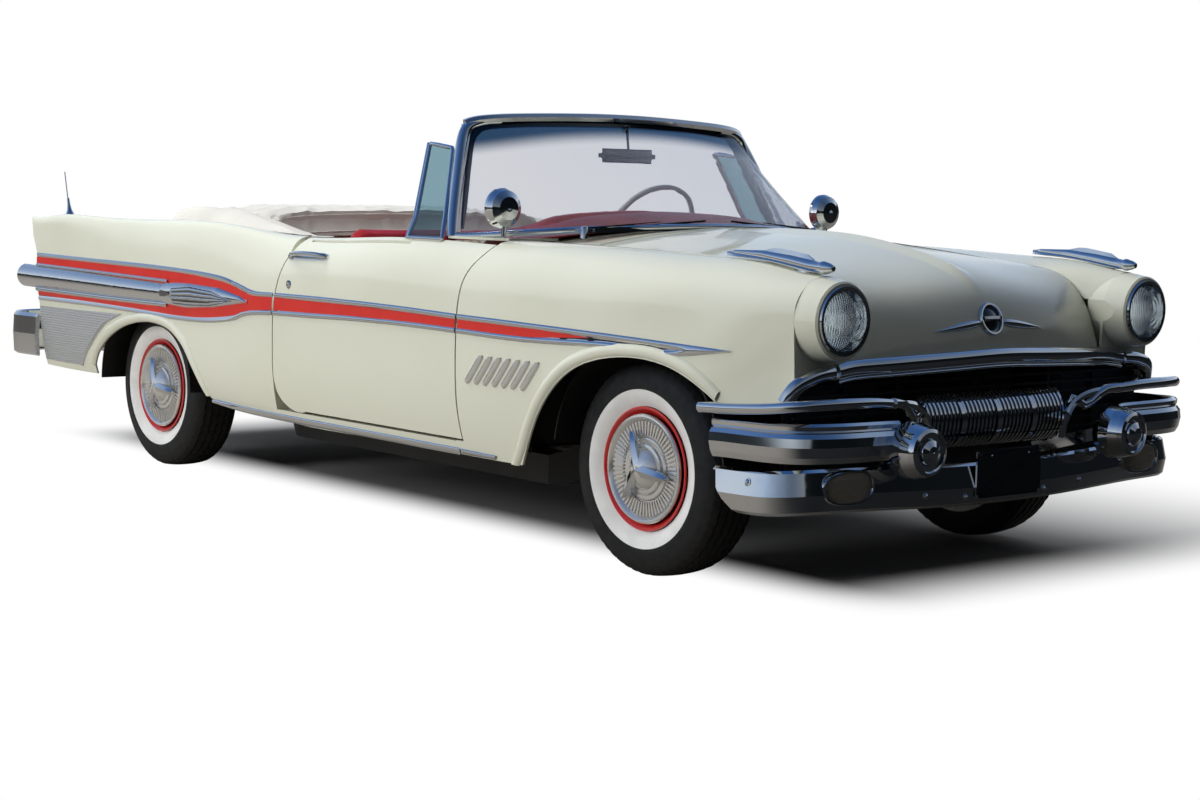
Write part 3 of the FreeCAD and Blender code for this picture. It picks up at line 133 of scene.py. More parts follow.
material, tree = start_material("sky dome seen in metal")
coords = add_node(tree, "ShaderNodeTexCoord")
split = add_node(tree, "ShaderNodeSeparateXYZ", {0: coords.outputs["Object"]})
height = add_node(tree, "ShaderNodeMath", {0: split.outputs["Z"], 1: 60.0}, operation="DIVIDE")
forward = add_node(tree, "ShaderNodeMath", {0: split.outputs["X"], 1: split.outputs["Y"]}, operation="ADD")
lower = add_node(tree, "ShaderNodeMapRange", {"Value": forward.outputs[0], "From Min": 10.0, "From Max": 70.0,
                                              "To Min": 0.0, "To Max": 0.19}, interpolation_type="SMOOTHSTEP")
height = add_node(tree, "ShaderNodeMath", {0: height.outputs[0], 1: lower.outputs[0]}, operation="SUBTRACT")
ramp = add_node(tree, "ShaderNodeValToRGB", {0: height.outputs[0]})
stops = [(0.0, "#20262B"), (0.07, "#2B3136"), (0.11, "#DCE6F0"), (0.25, "#AFC4E0"), (0.6, "#5C7FB4"),
         (1.0, "#31588F")]
while len(ramp.color_ramp.elements) < len(stops):
    ramp.color_ramp.elements.new(0.5)
for element, (place, shade) in zip(ramp.color_ramp.elements, stops):
    element.position = place
    element.color = linear(shade)
ahead = add_node(tree, "ShaderNodeMapRange", {"Value": split.outputs["X"], "From Min": -10.0, "From Max": 45.0,
                                              "To Min": 1.0, "To Max": 0.3})
lift = add_node(tree, "ShaderNodeEmission", {"Color": ramp.outputs[0], "Strength": ahead.outputs[0]})
add_node(tree, "ShaderNodeOutputMaterial", {"Surface": lift.outputs[0]})
bpy.ops.mesh.primitive_uv_sphere_add(segments=48, ring_count=24, radius=60)
dome = bpy.context.object
dome.name = "studio_dome"
dome.data.materials.append(material)
dome.visible_camera = False
dome.visible_diffuse = False
dome.visible_transmission = False
dome.visible_shadow = False
for name, kind, place, aim, size, power in (
        ("key_lamp", "AREA", (-0.8, -11.5, 4.6), (0, 0, 0.6), 5.0, 640),
        ("top_lamp", "AREA", (-4.2, -1.5, 8.0), (0.0, 0, 0.5), 5.0, 620),
        ("nose_lamp", "AREA", (9.0, 1.0, 4.0), (1.5, 0, 0.5), 4.0, 8),
        ("cabin_lamp", "SPOT", (2.0, -1.8, 3.6), (-0.72, 0, 1.05), 0.5, 110)):
    lamp = bpy.data.lights.new(name, kind)
    lamp.energy = power
    if kind == "AREA":
        lamp.shape = "DISK"
        lamp.size = size
    else:
        lamp.spot_size = math.radians(34)
        lamp.spot_blend = 0.8
        lamp.shadow_soft_size = size
    lamp_object = bpy.data.objects.new(name, lamp)
    lamp_object.location = place
    lamp_object.rotation_euler = (Vector(aim) - Vector(place)).to_track_quat("-Z", "Y").to_euler()
    lamp_object.visible_glossy = False
    scene.collection.objects.link(lamp_object)

CAMERA_AT = (6.8493, -5.2534, 1.2224)
camera_data = bpy.data.cameras.new("camera")
camera_data.lens = 64.17
camera_data.sensor_width = 36.0
camera = bpy.data.objects.new("camera", camera_data)
yaw, pitch, roll = math.radians(140.04), math.radians(-5.64), math.radians(1.24)
ahead = Vector((math.cos(yaw) * math.cos(pitch), math.sin(yaw) * math.cos(pitch), math.sin(pitch)))
level = Vector((math.sin(yaw), -math.cos(yaw), 0))
upright = level.cross(ahead)
right = math.cos(roll) * level + math.sin(roll) * upright
up = -math.sin(roll) * level + math.cos(roll) * upright
camera.matrix_world = Matrix.Translation(CAMERA_AT) @ Matrix((
    (right.x, up.x, -ahead.x, 0), (right.y, up.y, -ahead.y, 0), (right.z, up.z, -ahead.z, 0), (0, 0, 0, 1)))
scene.collection.objects.link(camera)
scene.camera = camera

# Body shell: pressed steel panels, sprayed in several coats of ivory acrylic lacquer and
# polished, so the colour lies under a clear, slightly rippled gloss.
def toned_finish(name, scale, detail, tones, stops, skin):
    """A finish whose colour drifts between two tones, with its drift and its surface."""
    material, tree = start_material(name)
    coords = add_node(tree, "ShaderNodeTexCoord")
    drift = add_node(tree, "ShaderNodeTexNoise", {"Vector": coords.outputs["Object"], "Scale": scale,
                                                  "Detail": detail})
    tint = add_node(tree, "ShaderNodeValToRGB", {0: drift.outputs["Fac"]})
    for element, stop, tone in zip(tint.color_ramp.elements, stops, tones):
        element.position = stop
        element.color = linear(tone)
    surface = add_node(tree, "ShaderNodeBsdfPrincipled", {"Base Color": tint.outputs[0], **skin})
    add_node(tree, "ShaderNodeOutputMaterial", {"Surface": surface.outputs[0]})
    return material, drift, surface


ivory, _, surface = toned_finish(
    "ivory acrylic lacquer, sprayed and polished", 1.7, 3.0, ("#DFE0CC", "#E5E6D4"), (0.3, 0.75),
    {"Roughness": 0.42, "Coat Weight": 1.0, "Coat Roughness": 0.05})
tree = ivory.node_tree
coords = add_node(tree, "ShaderNodeTexCoord")
ripple = add_node(tree, "ShaderNodeTexNoise", {"Vector": coords.outputs["Object"], "Scale": 420.0, "Detail": 1.0})
peel = add_node(tree, "ShaderNodeBump", {"Height": ripple.outputs["Fac"], "Strength": 0.03, "Distance": 0.0003})
tree.links.new(peel.outputs[0], surface.inputs["Coat Normal"])


def finish_nodes(material, *names):
    """Gives CAD nodes their material, on every slot they have."""
    for name in names:
        node = NODES[name]
        node.data.materials.clear()
        node.data.materials.append(material)


finish_nodes(ivory, "fender_right", "fender_left", "quarter_right", "quarter_left", "sills", "hood",
             "cowl", "rear_deck", "trunk_lid", "tail_panel", "door_right", "door_left", "headlamp_rims")

# Chassis and inner body: welded steel under a satin black enamel, dusty where air moves past.
black_enamel = toned_finish("satin black chassis enamel", 9.0, 6.0, ("#0D0D0E", "#1D1B19"), (0.35, 0.8),
                            {"Roughness": 0.5})[0]
finish_nodes(black_enamel, "frame", "floor", "wheelhouses", "radiator", "rear_axle", "leaf_springs",
             "propeller_shaft", "fuel_tank", "knuckle_right", "knuckle_left", "grille_bars", "firewall")

# Bright work: steel and zinc castings, polished, copper and nickel plated, then chromed.
# A faint haze from polishing keeps the mirror from looking like glass.
def bright_finish(name, scale, detail, dullest, colour, metallic=1.0):
    """A bright metal whose polish drifts between two roughnesses."""
    material, tree = start_material(name)
    coords = add_node(tree, "ShaderNodeTexCoord")
    haze = add_node(tree, "ShaderNodeTexNoise", {"Vector": coords.outputs["Object"], "Scale": scale,
                                                 "Detail": detail})
    gloss = add_node(tree, "ShaderNodeMapRange", {"Value": haze.outputs["Fac"], "To Min": dullest[0],
                                                  "To Max": dullest[1]})
    plate = add_node(tree, "ShaderNodeBsdfPrincipled", {
        "Base Color": linear(colour), "Metallic": metallic, "Roughness": gloss.outputs[0]})
    add_node(tree, "ShaderNodeOutputMaterial", {"Surface": plate.outputs[0]})
    return material


chrome = bright_finish("decorative chrome plate", 12.0, 5.0, (0.03, 0.09), "#DADCDF")
finish_nodes(chrome, "windshield_frame", "front_bumper", "grille", "visor_ends", "hood_visor", "headlamp_bezels",
             "side_pods", "rear_bumper", "mirrors", "antenna", "vent_window_right", "vent_window_left")

# Tyres: bias-ply cross-section, moulded black rubber with a buffed white rubber band on each
# flank, five zigzag grooves round the tread and short sipes at the shoulders.
FRONT_AXLE_X, REAR_AXLE_X = 1.8065, -1.3435
AXLES = {"front_right": (FRONT_AXLE_X, -1), "front_left": (FRONT_AXLE_X, 1),
         "rear_right": (REAR_AXLE_X, -1), "rear_left": (REAR_AXLE_X, 1)}
WHEEL_Y = 0.75
AXLE_Z = 0.345


def tidy_mesh(piece, smooth_angle=30):
    """Merges doubled points, turns faces outwards and shades gentle edges smooth."""
    bpy.ops.object.select_all(action="DESELECT")
    bpy.context.view_layer.objects.active = piece
    piece.select_set(True)
    bpy.ops.object.mode_set(mode="EDIT")
    bpy.ops.mesh.select_all(action="SELECT")
    bpy.ops.mesh.remove_doubles(threshold=0.00005)
    bpy.ops.mesh.normals_make_consistent(inside=False)
    bpy.ops.object.mode_set(mode="OBJECT")
    bpy.ops.object.shade_smooth_by_angle(angle=math.radians(smooth_angle))
    piece.select_set(False)


def spin_section(name, section, steps, centre=(0, 0, 0), axis="Y"):
    """A circle shaped to a closed (radius, along axis) section and spun once round its axis."""
    bpy.ops.mesh.primitive_circle_add(vertices=len(section), radius=1, fill_type="NOTHING")
    piece = bpy.context.object
    piece.name = name
    for vertex, (radius, along) in zip(piece.data.vertices, section):
        vertex.co = {"Y": (radius, along, 0), "X": (along, 0, radius), "Z": (radius, 0, along)}[axis]
    bpy.ops.object.mode_set(mode="EDIT")
    bpy.ops.mesh.select_all(action="SELECT")
    bpy.ops.mesh.spin(steps=steps, angle=math.tau, center=(0, 0, 0),
                      axis={"X": (1, 0, 0), "Y": (0, 1, 0), "Z": (0, 0, 1)}[axis], use_auto_merge=True)
    bpy.ops.object.mode_set(mode="OBJECT")
    piece.data.transform(Matrix.Translation(centre))
    tidy_mesh(piece)
    return piece


def smooth_run(points, count):
    """Points spread evenly along a smooth curve through the given ones."""
    marks = [0.0]
    for a, b in zip(points, points[1:]):
        marks.append(marks[-1] + math.dist(a, b))
    run = []
    for i in range(count):
        t = marks[-1] * i / (count - 1)
        k = max(j for j in range(len(marks) - 1) if marks[j] <= t + 1e-9)
        u = (t - marks[k]) / (marks[k + 1] - marks[k])
        p0, p1, p2, p3 = (points[max(k - 1, 0)], points[k], points[k + 1], points[min(k + 2, len(points) - 1)])
        run.append(tuple(0.5 * (2 * b + (c - a) * u + (2 * a - 5 * b + 4 * c - d) * u * u
                                + (3 * b - a - 3 * c + d) * u ** 3)
                         for a, b, c, d in zip(p0, p1, p2, p3)))
    return run


TREAD_GROOVES = (-0.062, -0.031, 0.0, 0.031, 0.062)
flank = smooth_run([(0.18, 0.078), (0.1985, 0.082), (0.22, 0.0945), (0.24, 0.103), (0.252, 0.1052),
                    (0.254, 0.1066), (0.268, 0.107), (0.302, 0.101), (0.318, 0.0935), (0.332, 0.084)], 26)
tread = []
for groove in reversed(TREAD_GROOVES):
    for offset, depth in ((0.005, 0.0), (0.0032, 0.0065), (-0.0032, 0.0065), (-0.005, 0.0)):
        y = groove + offset
        tread.append((0.345 - 1.1 * y * y - depth, y))
section = flank + [(0.3375, 0.076)] + tread + [(0.3375, -0.076)] + [(r, -y) for r, y in reversed(flank)]
TREAD_STEPS = 180
tyre = spin_section("tyre_pattern", section, TREAD_STEPS)
for vertex in tyre.data.vertices:
    x, y, z = vertex.co
    radius = math.hypot(x, z)
    turn = round(math.atan2(z, x) / math.tau * TREAD_STEPS)
    if radius > 0.33 and abs(y) < 0.07:
        vertex.co.y += 0.0024 if turn % 4 < 2 else -0.0024
    if 0.329 < radius < 0.34 and abs(y) > 0.07 and turn % 3 == 0:
        vertex.co.x *= 1 - 0.005 / radius
        vertex.co.z *= 1 - 0.005 / radius

rubber, scuff, surface = toned_finish("moulded black tyre rubber", 38.0, 8.0, ("#121212", "#232221"), (0.35, 0.8),
                                      {"Roughness": 0.58})
tree = rubber.node_tree
grain = add_node(tree, "ShaderNodeBump", {"Height": scuff.outputs["Fac"], "Strength": 0.12, "Distance": 0.001})
tree.links.new(grain.outputs[0], surface.inputs["Normal"])
tyre.data.materials.append(rubber)
tyre.data.materials.append(toned_finish("buffed white sidewall rubber", 14.0, 5.0, ("#DFDFDC", "#ECECEA"), (0.3, 0.6),
                                        {"Roughness": 0.45})[0])
for polygon in tyre.data.polygons:
    x, y, z = polygon.center
    polygon.material_index = 1 if 0.196 < math.hypot(x, z) < 0.2525 and abs(y) > 0.07 else 0


def place_copies(pattern, name):
    """Copies a wheel piece modelled about the origin, outer side towards -Y, to the four hubs."""
    copies = {}
    for place, (x, side) in AXLES.items():
        piece = pattern.copy()
        piece.data = pattern.data.copy()
        piece.name = name + "_" + place
        turn = Matrix.Rotation(math.pi, 4, "Z") if side > 0 else Matrix.Identity(4)
        piece.data.transform(Matrix.Translation((x, side * WHEEL_Y, AXLE_Z)) @ turn)
        scene.collection.objects.link(piece)
        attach(piece, "wheel_" + place)
        copies[place] = piece
    bpy.data.objects.remove(pattern)
    return copies


for place, piece in place_copies(tyre, "tyre_tread").items():
    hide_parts("tyre_" + place)

# Wheel rims: rolled and welded steel, sprayed red and baked, riveted to the wheel's centre. The
# black enamelled brake drum sits behind each.
red_enamel = toned_finish("red wheel enamel", 6.0, 4.0, ("#BE2222", "#CB2C29"), (0.3, 0.7),
                          {"Roughness": 0.3, "Coat Weight": 0.8, "Coat Roughness": 0.06})[0]
lip = [(0.1985, -0.089), (0.196, -0.0925), (0.1915, -0.0925), (0.187, -0.089), (0.1805, -0.08),
       (0.1765, -0.078), (0.174, -0.07), (0.172, -0.04)]
rim = spin_section("rim_pattern", lip + [(0.156, -0.02), (0.156, 0.03), (0.172, 0.05), (0.174, 0.072),
                   (0.187, 0.0885), (0.1975, 0.0885), (0.1985, 0.086), (0.185, 0.08), (0.179, 0.076),
                   (0.177, 0.05), (0.162, 0.031), (0.162, -0.021), (0.177, -0.042), (0.179, -0.074),
                   (0.185, -0.08)], 96)
rim.data.materials.append(red_enamel)
drum = spin_section("drum_pattern", [(0.0, -0.024), (0.07, -0.024), (0.11, -0.036), (0.156, -0.018),
                    (0.156, -0.008), (0.138, 0.0000), (0.133, 0.024), (0.128, 0.028), (0.0, 0.028)], 48)
drum.data.materials.append(black_enamel)
for place, piece in place_copies(rim, "wheel_rim").items():
    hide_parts("wheel_" + place)
for place, piece in place_copies(drum, "brake_drum").items():
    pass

# Wheel covers: pressed stainless steel, chromed, with a ring of raised radial fins, a stepped
# cone and a cast three-bladed spinner riveted on top.
pressing = bright_finish("polished stainless pressing", 60.0, 4.0, (0.12, 0.22), "#E3E2DF", 0.72)
cover_face = [(0.175, -0.089), (0.175, -0.0935), (0.1715, -0.0975), (0.166, -0.0985), (0.161, -0.096),
              (0.157, -0.0905), (0.151, -0.085), (0.108, -0.078), (0.102, -0.079), (0.098, -0.085),
              (0.09, -0.087), (0.084, -0.086), (0.08, -0.093), (0.073, -0.096), (0.068, -0.0955),
              (0.064, -0.101), (0.05, -0.112), (0.032, -0.123), (0.015, -0.129), (0.0, -0.13)]
cover = spin_section("cover_pattern", cover_face + [(0.0, -0.126), (0.05, -0.107), (0.1, -0.075),
                     (0.16, -0.085), (0.172, -0.088)], 96)
cover.data.materials.append(pressing)
FIN_COUNT = 60
bpy.ops.mesh.primitive_cube_add(size=1)
fin = bpy.context.object
fin.data.transform(Matrix.Diagonal((0.044, 0.009, 0.0058, 1)))
fin.data.transform(Matrix.Translation((0.1295, -0.0835, 0)))
for vertex in fin.data.vertices:
    if vertex.co.x > 0.13:
        vertex.co.z *= 1.25
        vertex.co.y -= 0.002
fins = []
for i in range(FIN_COUNT):
    copy = fin.copy()
    copy.data = fin.data.copy()
    copy.data.transform(Matrix.Rotation(i * math.tau / FIN_COUNT, 4, "Y"))
    scene.collection.objects.link(copy)
    fins.append(copy)
bpy.data.objects.remove(fin)
bpy.ops.mesh.primitive_cube_add(size=1)
blade = bpy.context.object
blade.data.transform(Matrix.Diagonal((0.125, 0.012, 0.042, 1)))
blade.data.transform(Matrix.Translation((0.0625, -0.118, 0)))
bpy.ops.object.mode_set(mode="EDIT")
bpy.ops.mesh.select_all(action="SELECT")
bpy.ops.mesh.subdivide(number_cuts=5)
bpy.ops.object.mode_set(mode="OBJECT")
for vertex in blade.data.vertices:
    x, y, z = vertex.co
    reach = x / 0.125
    width = 1.0 - 0.42 * reach
    if reach >= 0.8:
        width *= math.sqrt(max(0.0, 1 - ((reach - 0.8) / 0.205) ** 2))
    vertex.co.z = z * width
    ridge = 0.0075 * (1 - abs(z) / 0.021)
    droop = 0.0165 * reach ** 2
    vertex.co.y = y + droop - (ridge if y < -0.118 else 0.0)
blades = []
for i in range(3):
    copy = blade.copy()
    copy.data = blade.data.copy()
    copy.data.transform(Matrix.Rotation(math.radians(8 + 120 * i), 4, "Y"))
    scene.collection.objects.link(copy)
    blades.append(copy)
bpy.data.objects.remove(blade)
for piece in fins + blades:
    piece.data.materials.append(pressing if piece in fins else chrome)


def join_pieces(name, pieces):
    """Joins loose shells into one piece."""
    bpy.ops.object.select_all(action="DESELECT")
    for piece in pieces:
        piece.select_set(True)
    bpy.context.view_layer.objects.active = pieces[0]
    bpy.ops.object.join()
    pieces[0].name = name
    pieces[0].select_set(False)
    return pieces[0]


cover = join_pieces("cover_pattern", [cover] + fins + blades)
tidy_mesh(cover, 35)
for place, piece in place_copies(cover, "wheel_cover").items():
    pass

# Side spear: stamped stainless mouldings clipped to fender, door and quarter, with two
# rounded beads and an enamelled aluminium insert between them that narrows to a point.
HANDS = ((-1, "right"), (1, "left"))


def flat_grid(name, steps_x, steps_y):
    """A grid from -1 to 1 both ways, ready to be shaped point by point."""
    bpy.ops.object.select_all(action="DESELECT")
    bpy.ops.mesh.primitive_grid_add(x_subdivisions=steps_x, y_subdivisions=steps_y, size=2)
    bpy.context.object.name = name
    return bpy.context.object


def give_wall(piece, thickness, offset=-1):
    """Closes a sheet into a wall, inwards, or to both sides where offset is 0."""
    wall = piece.modifiers.new("wall", "SOLIDIFY")
    wall.thickness = thickness
    wall.offset = offset
    bpy.ops.object.select_all(action="DESELECT")
    bpy.context.view_layer.objects.active = piece
    bpy.ops.object.modifier_apply(modifier="wall")


def lay_strip(name, panel, body, side, first_edge, second_edge, height, along, across):
    """A grid shaped between two (s, z) edges in mm, dropped on a panel and raised to a profile."""
    strip = flat_grid(name, along - 1, across - 1)
    first, second = smooth_run(first_edge, along), smooth_run(second_edge, along)
    places = {}
    for vertex in strip.data.vertices:
        i = round((vertex.co.x + 1) / 2 * (along - 1))
        j = round((vertex.co.y + 1) / 2 * (across - 1))
        t = j / (across - 1)
        s = first[i][0] * (1 - t) + second[i][0] * t
        z = first[i][1] * (1 - t) + second[i][1] * t
        gap = math.dist(first[i], second[i])
        places[(i, j)] = (vertex.index, height(s, z, t * gap, (1 - t) * gap) / 1000)
        vertex.co = (FRONT_AXLE_X + s / 1000, side * 1.2, z / 1000)
    wrap = strip.modifiers.new("drop", "SHRINKWRAP")
    wrap.target = NODES[panel]
    wrap.wrap_method = "PROJECT"
    wrap.use_project_y = True
    wrap.use_negative_direction = True
    wrap.use_positive_direction = True
    bpy.context.view_layer.objects.active = strip
    bpy.ops.object.modifier_apply(modifier="drop")
    landed = {key: index for key, (index, _) in places.items() if abs(strip.data.vertices[index].co.y) < 1.15}
    for key, (index, _) in places.items():
        if key not in landed:
            near = min(landed, key=lambda k: (k[0] - key[0]) ** 2 + (k[1] - key[1]) ** 2)
            strip.data.vertices[index].co.y = strip.data.vertices[landed[near]].co.y
    for index, rise in places.values():
        strip.data.vertices[index].co.y += side * rise
    middle = strip.data.polygons[len(strip.data.polygons) // 2]
    if middle.normal.y * side < 0:
        strip.data.flip_normals()
    give_wall(strip, 0.0022)
    tidy_mesh(strip, 40)
    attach(strip, body)
    return strip


def arched(a, b, power=1.0):
    """Height of a rounded back, 0 at either edge and 1 in the middle."""
    return max(0.0, math.sin(math.pi * a / max(a + b, 1e-6))) ** power


def beaded(bead):
    """Two rounded beads of a width along the edges, flat between; they meet where it narrows."""
    def height(s, z, d0, d1):
        width = min(bead, (d0 + d1) / 2)
        d = min(d0, d1)
        if d >= width:
            return 2.0
        if d0 + d1 < 2.2 * bead:
            return 2.0 + 5.0 * arched(d, 2 * width - d, 0.7)
        return 2.0 + 5.0 * arched(d, width - d, 0.6)
    return height


red_insert = toned_finish("red enamelled aluminium insert", 8.0, 4.0, ("#D2281E", "#DA3226"), (0.3, 0.7),
                          {"Roughness": 0.34, "Coat Weight": 0.5, "Coat Roughness": 0.08})[0]

SPEAR_TOP = [(437, 753), (160, 763), (-106, 771), (-517, 780), (-871, 786)]
SPEAR_LOW = [(437, 749), (181, 717), (-104, 724), (-515, 715), (-871, 720)]
DOOR_SPEAR_TOP = [(-884, 786), (-1211, 794), (-1532, 798), (-1800, 799), (-2063, 798)]
DOOR_SPEAR_LOW = [(-884, 720), (-1209, 724), (-1530, 722), (-1800, 716), (-2063, 711)]
SWEEP_TOP = [(-2079, 798), (-2218, 798), (-2345, 822), (-2461, 842), (-2608, 853), (-2837, 861), (-3156, 867),
             (-3670, 871), (-4158, 876)]
SWEEP_LOW = [(-2079, 711), (-2259, 699), (-2387, 670), (-2607, 650), (-2914, 647), (-3156, 654), (-3400, 658),
             (-3671, 660), (-4134, 660)]
INSERT_TOP = [(-166, 751), (-300, 757), (-517, 763), (-871, 768)]
INSERT_LOW = [(-166, 751), (-300, 743), (-515, 733), (-871, 737)]
DOOR_INSERT_TOP = [(-884, 768), (-1211, 775), (-1532, 779), (-1800, 780), (-2063, 780)]
DOOR_INSERT_LOW = [(-884, 737), (-1209, 741), (-1530, 740), (-1800, 735), (-2063, 731)]
SWEEP_INSERT_TOP = [(-2079, 780), (-2232, 780), (-2345, 803), (-2460, 823), (-2623, 835), (-2837, 843),
                    (-3156, 848), (-3670, 853), (-4162, 857)]
SWEEP_INSERT_LOW = [(-2079, 731), (-2245, 717), (-2387, 690), (-2607, 670), (-2836, 666), (-3156, 673),
                    (-3400, 677), (-3671, 680), (-4136, 683)]
for side, hand in HANDS:
    for name, panel, body, upper, lower, count in (
            ("spear_front_", "fender_", "root", SPEAR_TOP, SPEAR_LOW, 60),
            ("spear_door_", "door_", "door_" + hand, DOOR_SPEAR_TOP, DOOR_SPEAR_LOW, 40),
            ("sweep_", "quarter_", "root", SWEEP_TOP, SWEEP_LOW, 110)):
        piece = lay_strip(name + hand, panel + hand, body, side, upper, lower, beaded(18), count, 25)
        piece.data.materials.append(chrome)
    for name, panel, body, upper, lower, count in (
            ("insert_front_", "fender_", "root", INSERT_TOP, INSERT_LOW, 40),
            ("insert_door_", "door_", "door_" + hand, DOOR_INSERT_TOP, DOOR_INSERT_LOW, 40),
            ("insert_sweep_", "quarter_", "root", SWEEP_INSERT_TOP, SWEEP_INSERT_LOW, 110)):
        piece = lay_strip(name + hand, panel + hand, body, side, upper, lower, lambda s, z, a, b: 3.2, count, 8)
        piece.data.materials.append(red_insert)

# Rear side panel: rolled aluminium sheet with 23 fine ribs along the car, anodised clear, and a thin bright
# moulding along its edge by the wheel arch.
anodised, tree = start_material("clear anodised ribbed aluminium")
coords = add_node(tree, "ShaderNodeTexCoord")
stretched = add_node(tree, "ShaderNodeMapping", {"Vector": coords.outputs["Object"], "Scale": (4.0, 60.0, 260.0)})
draw = add_node(tree, "ShaderNodeTexNoise", {"Vector": stretched.outputs[0], "Scale": 5.0, "Detail": 4.0})
gloss = add_node(tree, "ShaderNodeMapRange", {"Value": draw.outputs["Fac"], "To Min": 0.32, "To Max": 0.5})
skin = add_node(tree, "ShaderNodeBsdfPrincipled", {"Base Color": linear("#C6C7C5"), "Metallic": 0.6,
                                                   "Roughness": gloss.outputs[0]})
add_node(tree, "ShaderNodeOutputMaterial", {"Surface": skin.outputs[0]})
RIB_STEP = 11.0
PANEL_REAR = [(-4126, 634), (-4126, 550), (-4124, 470), (-4122, 388)]
PANEL_ARCH = [(-3330, 640), (-3470, 597), (-3575, 533), (-3682, 456), (-3752, 388)]
for side, hand in HANDS:
    piece = lay_strip("ribbed_panel_" + hand, "quarter_" + hand, "root", side, PANEL_REAR, PANEL_ARCH,
                      lambda s, z, a, b: 1.6 + 2.4 * abs(math.sin(math.pi * z / RIB_STEP)), 185, 24)
    piece.data.materials.append(anodised)
    edge_in = [(-3338, 643), (-3478, 602), (-3584, 537), (-3691, 459), (-3760, 386)]
    edge_out = [(-3320, 640), (-3464, 594), (-3570, 528), (-3677, 450), (-3748, 384)]
    piece = lay_strip("panel_moulding_" + hand, "quarter_" + hand, "root", side, edge_in, edge_out,
                      lambda s, z, a, b: 2.0 + 3.5 * arched(a, b), 50, 7)
    piece.data.materials.append(chrome)

# Fender louvres: seven slanted bars behind the front wheel, each a rounded trough with a hooked
# top, pressed from stainless sheet and clipped through the fender.
BAR_FOOT = [(-801, 561), (-750, 561), (-700, 561), (-649, 561), (-598, 561), (-547, 561), (-496, 561)]
for side, hand in HANDS:
    bars = []
    for s, z in BAR_FOOT:
        left = [(s - 13, z - 2), (s - 15, z + 8), (s + 18, z + 48), (s + 48, z + 84), (s + 62, z + 93)]
        rest = [(s + 1, z - 8), (s + 17, z + 4), (s + 52, z + 44), (s + 82, z + 82), (s + 84, z + 94)]
        bars.append(lay_strip("bar", "fender_" + hand, "root", side, left, rest,
                              lambda s, z, a, b: 1.5 + 6.5 * arched(a, b, 0.6), 16, 9))
    bars = join_pieces("louvre_bars_" + hand, bars)
    bars.data.materials.append(pressing)

# Sill mouldings: roll-formed stainless strips, screwed along the bottom of the sills and carried
# on across the foot of the fenders.
for side, hand in HANDS:
    for name, panel, body, top, low in (
            ("sill_strip_", "sills", "root", [(-884, 322), (-1523, 326), (-2236, 331), (-2590, 340)],
             [(-884, 296), (-1523, 299), (-2236, 304), (-2590, 322)]),
            ("fender_strip_", "fender_" + hand, "root", [(-676, 318), (-780, 319), (-871, 321)],
             [(-684, 302), (-780, 302), (-871, 302)])):
        piece = lay_strip(name + hand, panel, body, side, top, low,
                          lambda s, z, a, b: 2.0 + 6.0 * arched(a, b, 0.5), 50, 9)
        piece.data.materials.append(chrome)

# Headlamps: sealed-beam units with a fluted pressed-glass lens over a silvered bowl, held by a
# chrome bezel in the painted lamp rim.
LAMP_AT = (FRONT_AXLE_X, 0.724, 0.854)
lamp_glass, tree = start_material("fluted pressed lamp glass")
coords = add_node(tree, "ShaderNodeTexCoord")
flutes = add_node(tree, "ShaderNodeTexWave", {"Vector": coords.outputs["Object"], "Scale": 33.0},
                  bands_direction="Y", wave_profile="SIN")
fluting = add_node(tree, "ShaderNodeBump", {"Height": flutes.outputs["Fac"], "Strength": 0.35, "Distance": 0.002})
glass = add_node(tree, "ShaderNodeBsdfPrincipled", {
    "Base Color": linear("#E6EDEE"), "Roughness": 0.05, "IOR": 1.47, "Transmission Weight": 0.96,
    "Normal": fluting.outputs[0]})
add_node(tree, "ShaderNodeOutputMaterial", {"Surface": glass.outputs[0]})
silvered = bright_finish("vacuum silvered lamp bowl", 25.0, 2.0, (0.05, 0.12), "#D2D6DA")
lenses = []
bowls = []
for side in (-1, 1):
    centre = (LAMP_AT[0], side * LAMP_AT[1], LAMP_AT[2])
    lenses.append(spin_section("lens", [(0.0, 0.724), (0.03, 0.7225), (0.055, 0.718), (0.076, 0.71),
                  (0.0872, 0.701), (0.0872, 0.696), (0.074, 0.705), (0.054, 0.713), (0.03, 0.7175),
                  (0.0, 0.719)], 64, centre, "X"))
    bowls.append(spin_section("bowl", [(0.0, 0.618), (0.03, 0.623), (0.06, 0.648), (0.086, 0.69),
                 (0.0872, 0.69), (0.0872, 0.682), (0.062, 0.64), (0.03, 0.61), (0.0, 0.605)],
                 48, centre, "X"))
    bowls.append(spin_section("shield", [(0.0, 0.682), (0.014, 0.678), (0.018, 0.666), (0.012, 0.652),
                 (0.006, 0.63), (0.0, 0.618)], 24, centre, "X"))
lenses = join_pieces("headlamp_glass", lenses)
lenses.data.materials.append(lamp_glass)
bowls = join_pieces("headlamp_bowls", bowls)
bowls.data.materials.append(silvered)
for piece, slot in ((lenses, "lamp_glass"), (bowls, "chrome")):
    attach(piece, "root")
    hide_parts("headlamp_lenses")

# Number plates: blank pressed steel with a rolled rim, dipped in black enamel and baked. Two chromed
# screws hold the front one.
plate_black = toned_finish("baked black plate enamel", 22.0, 6.0, ("#14171A", "#24282C"), (0.0, 1.0),
                           {"Roughness": 0.35})[0]


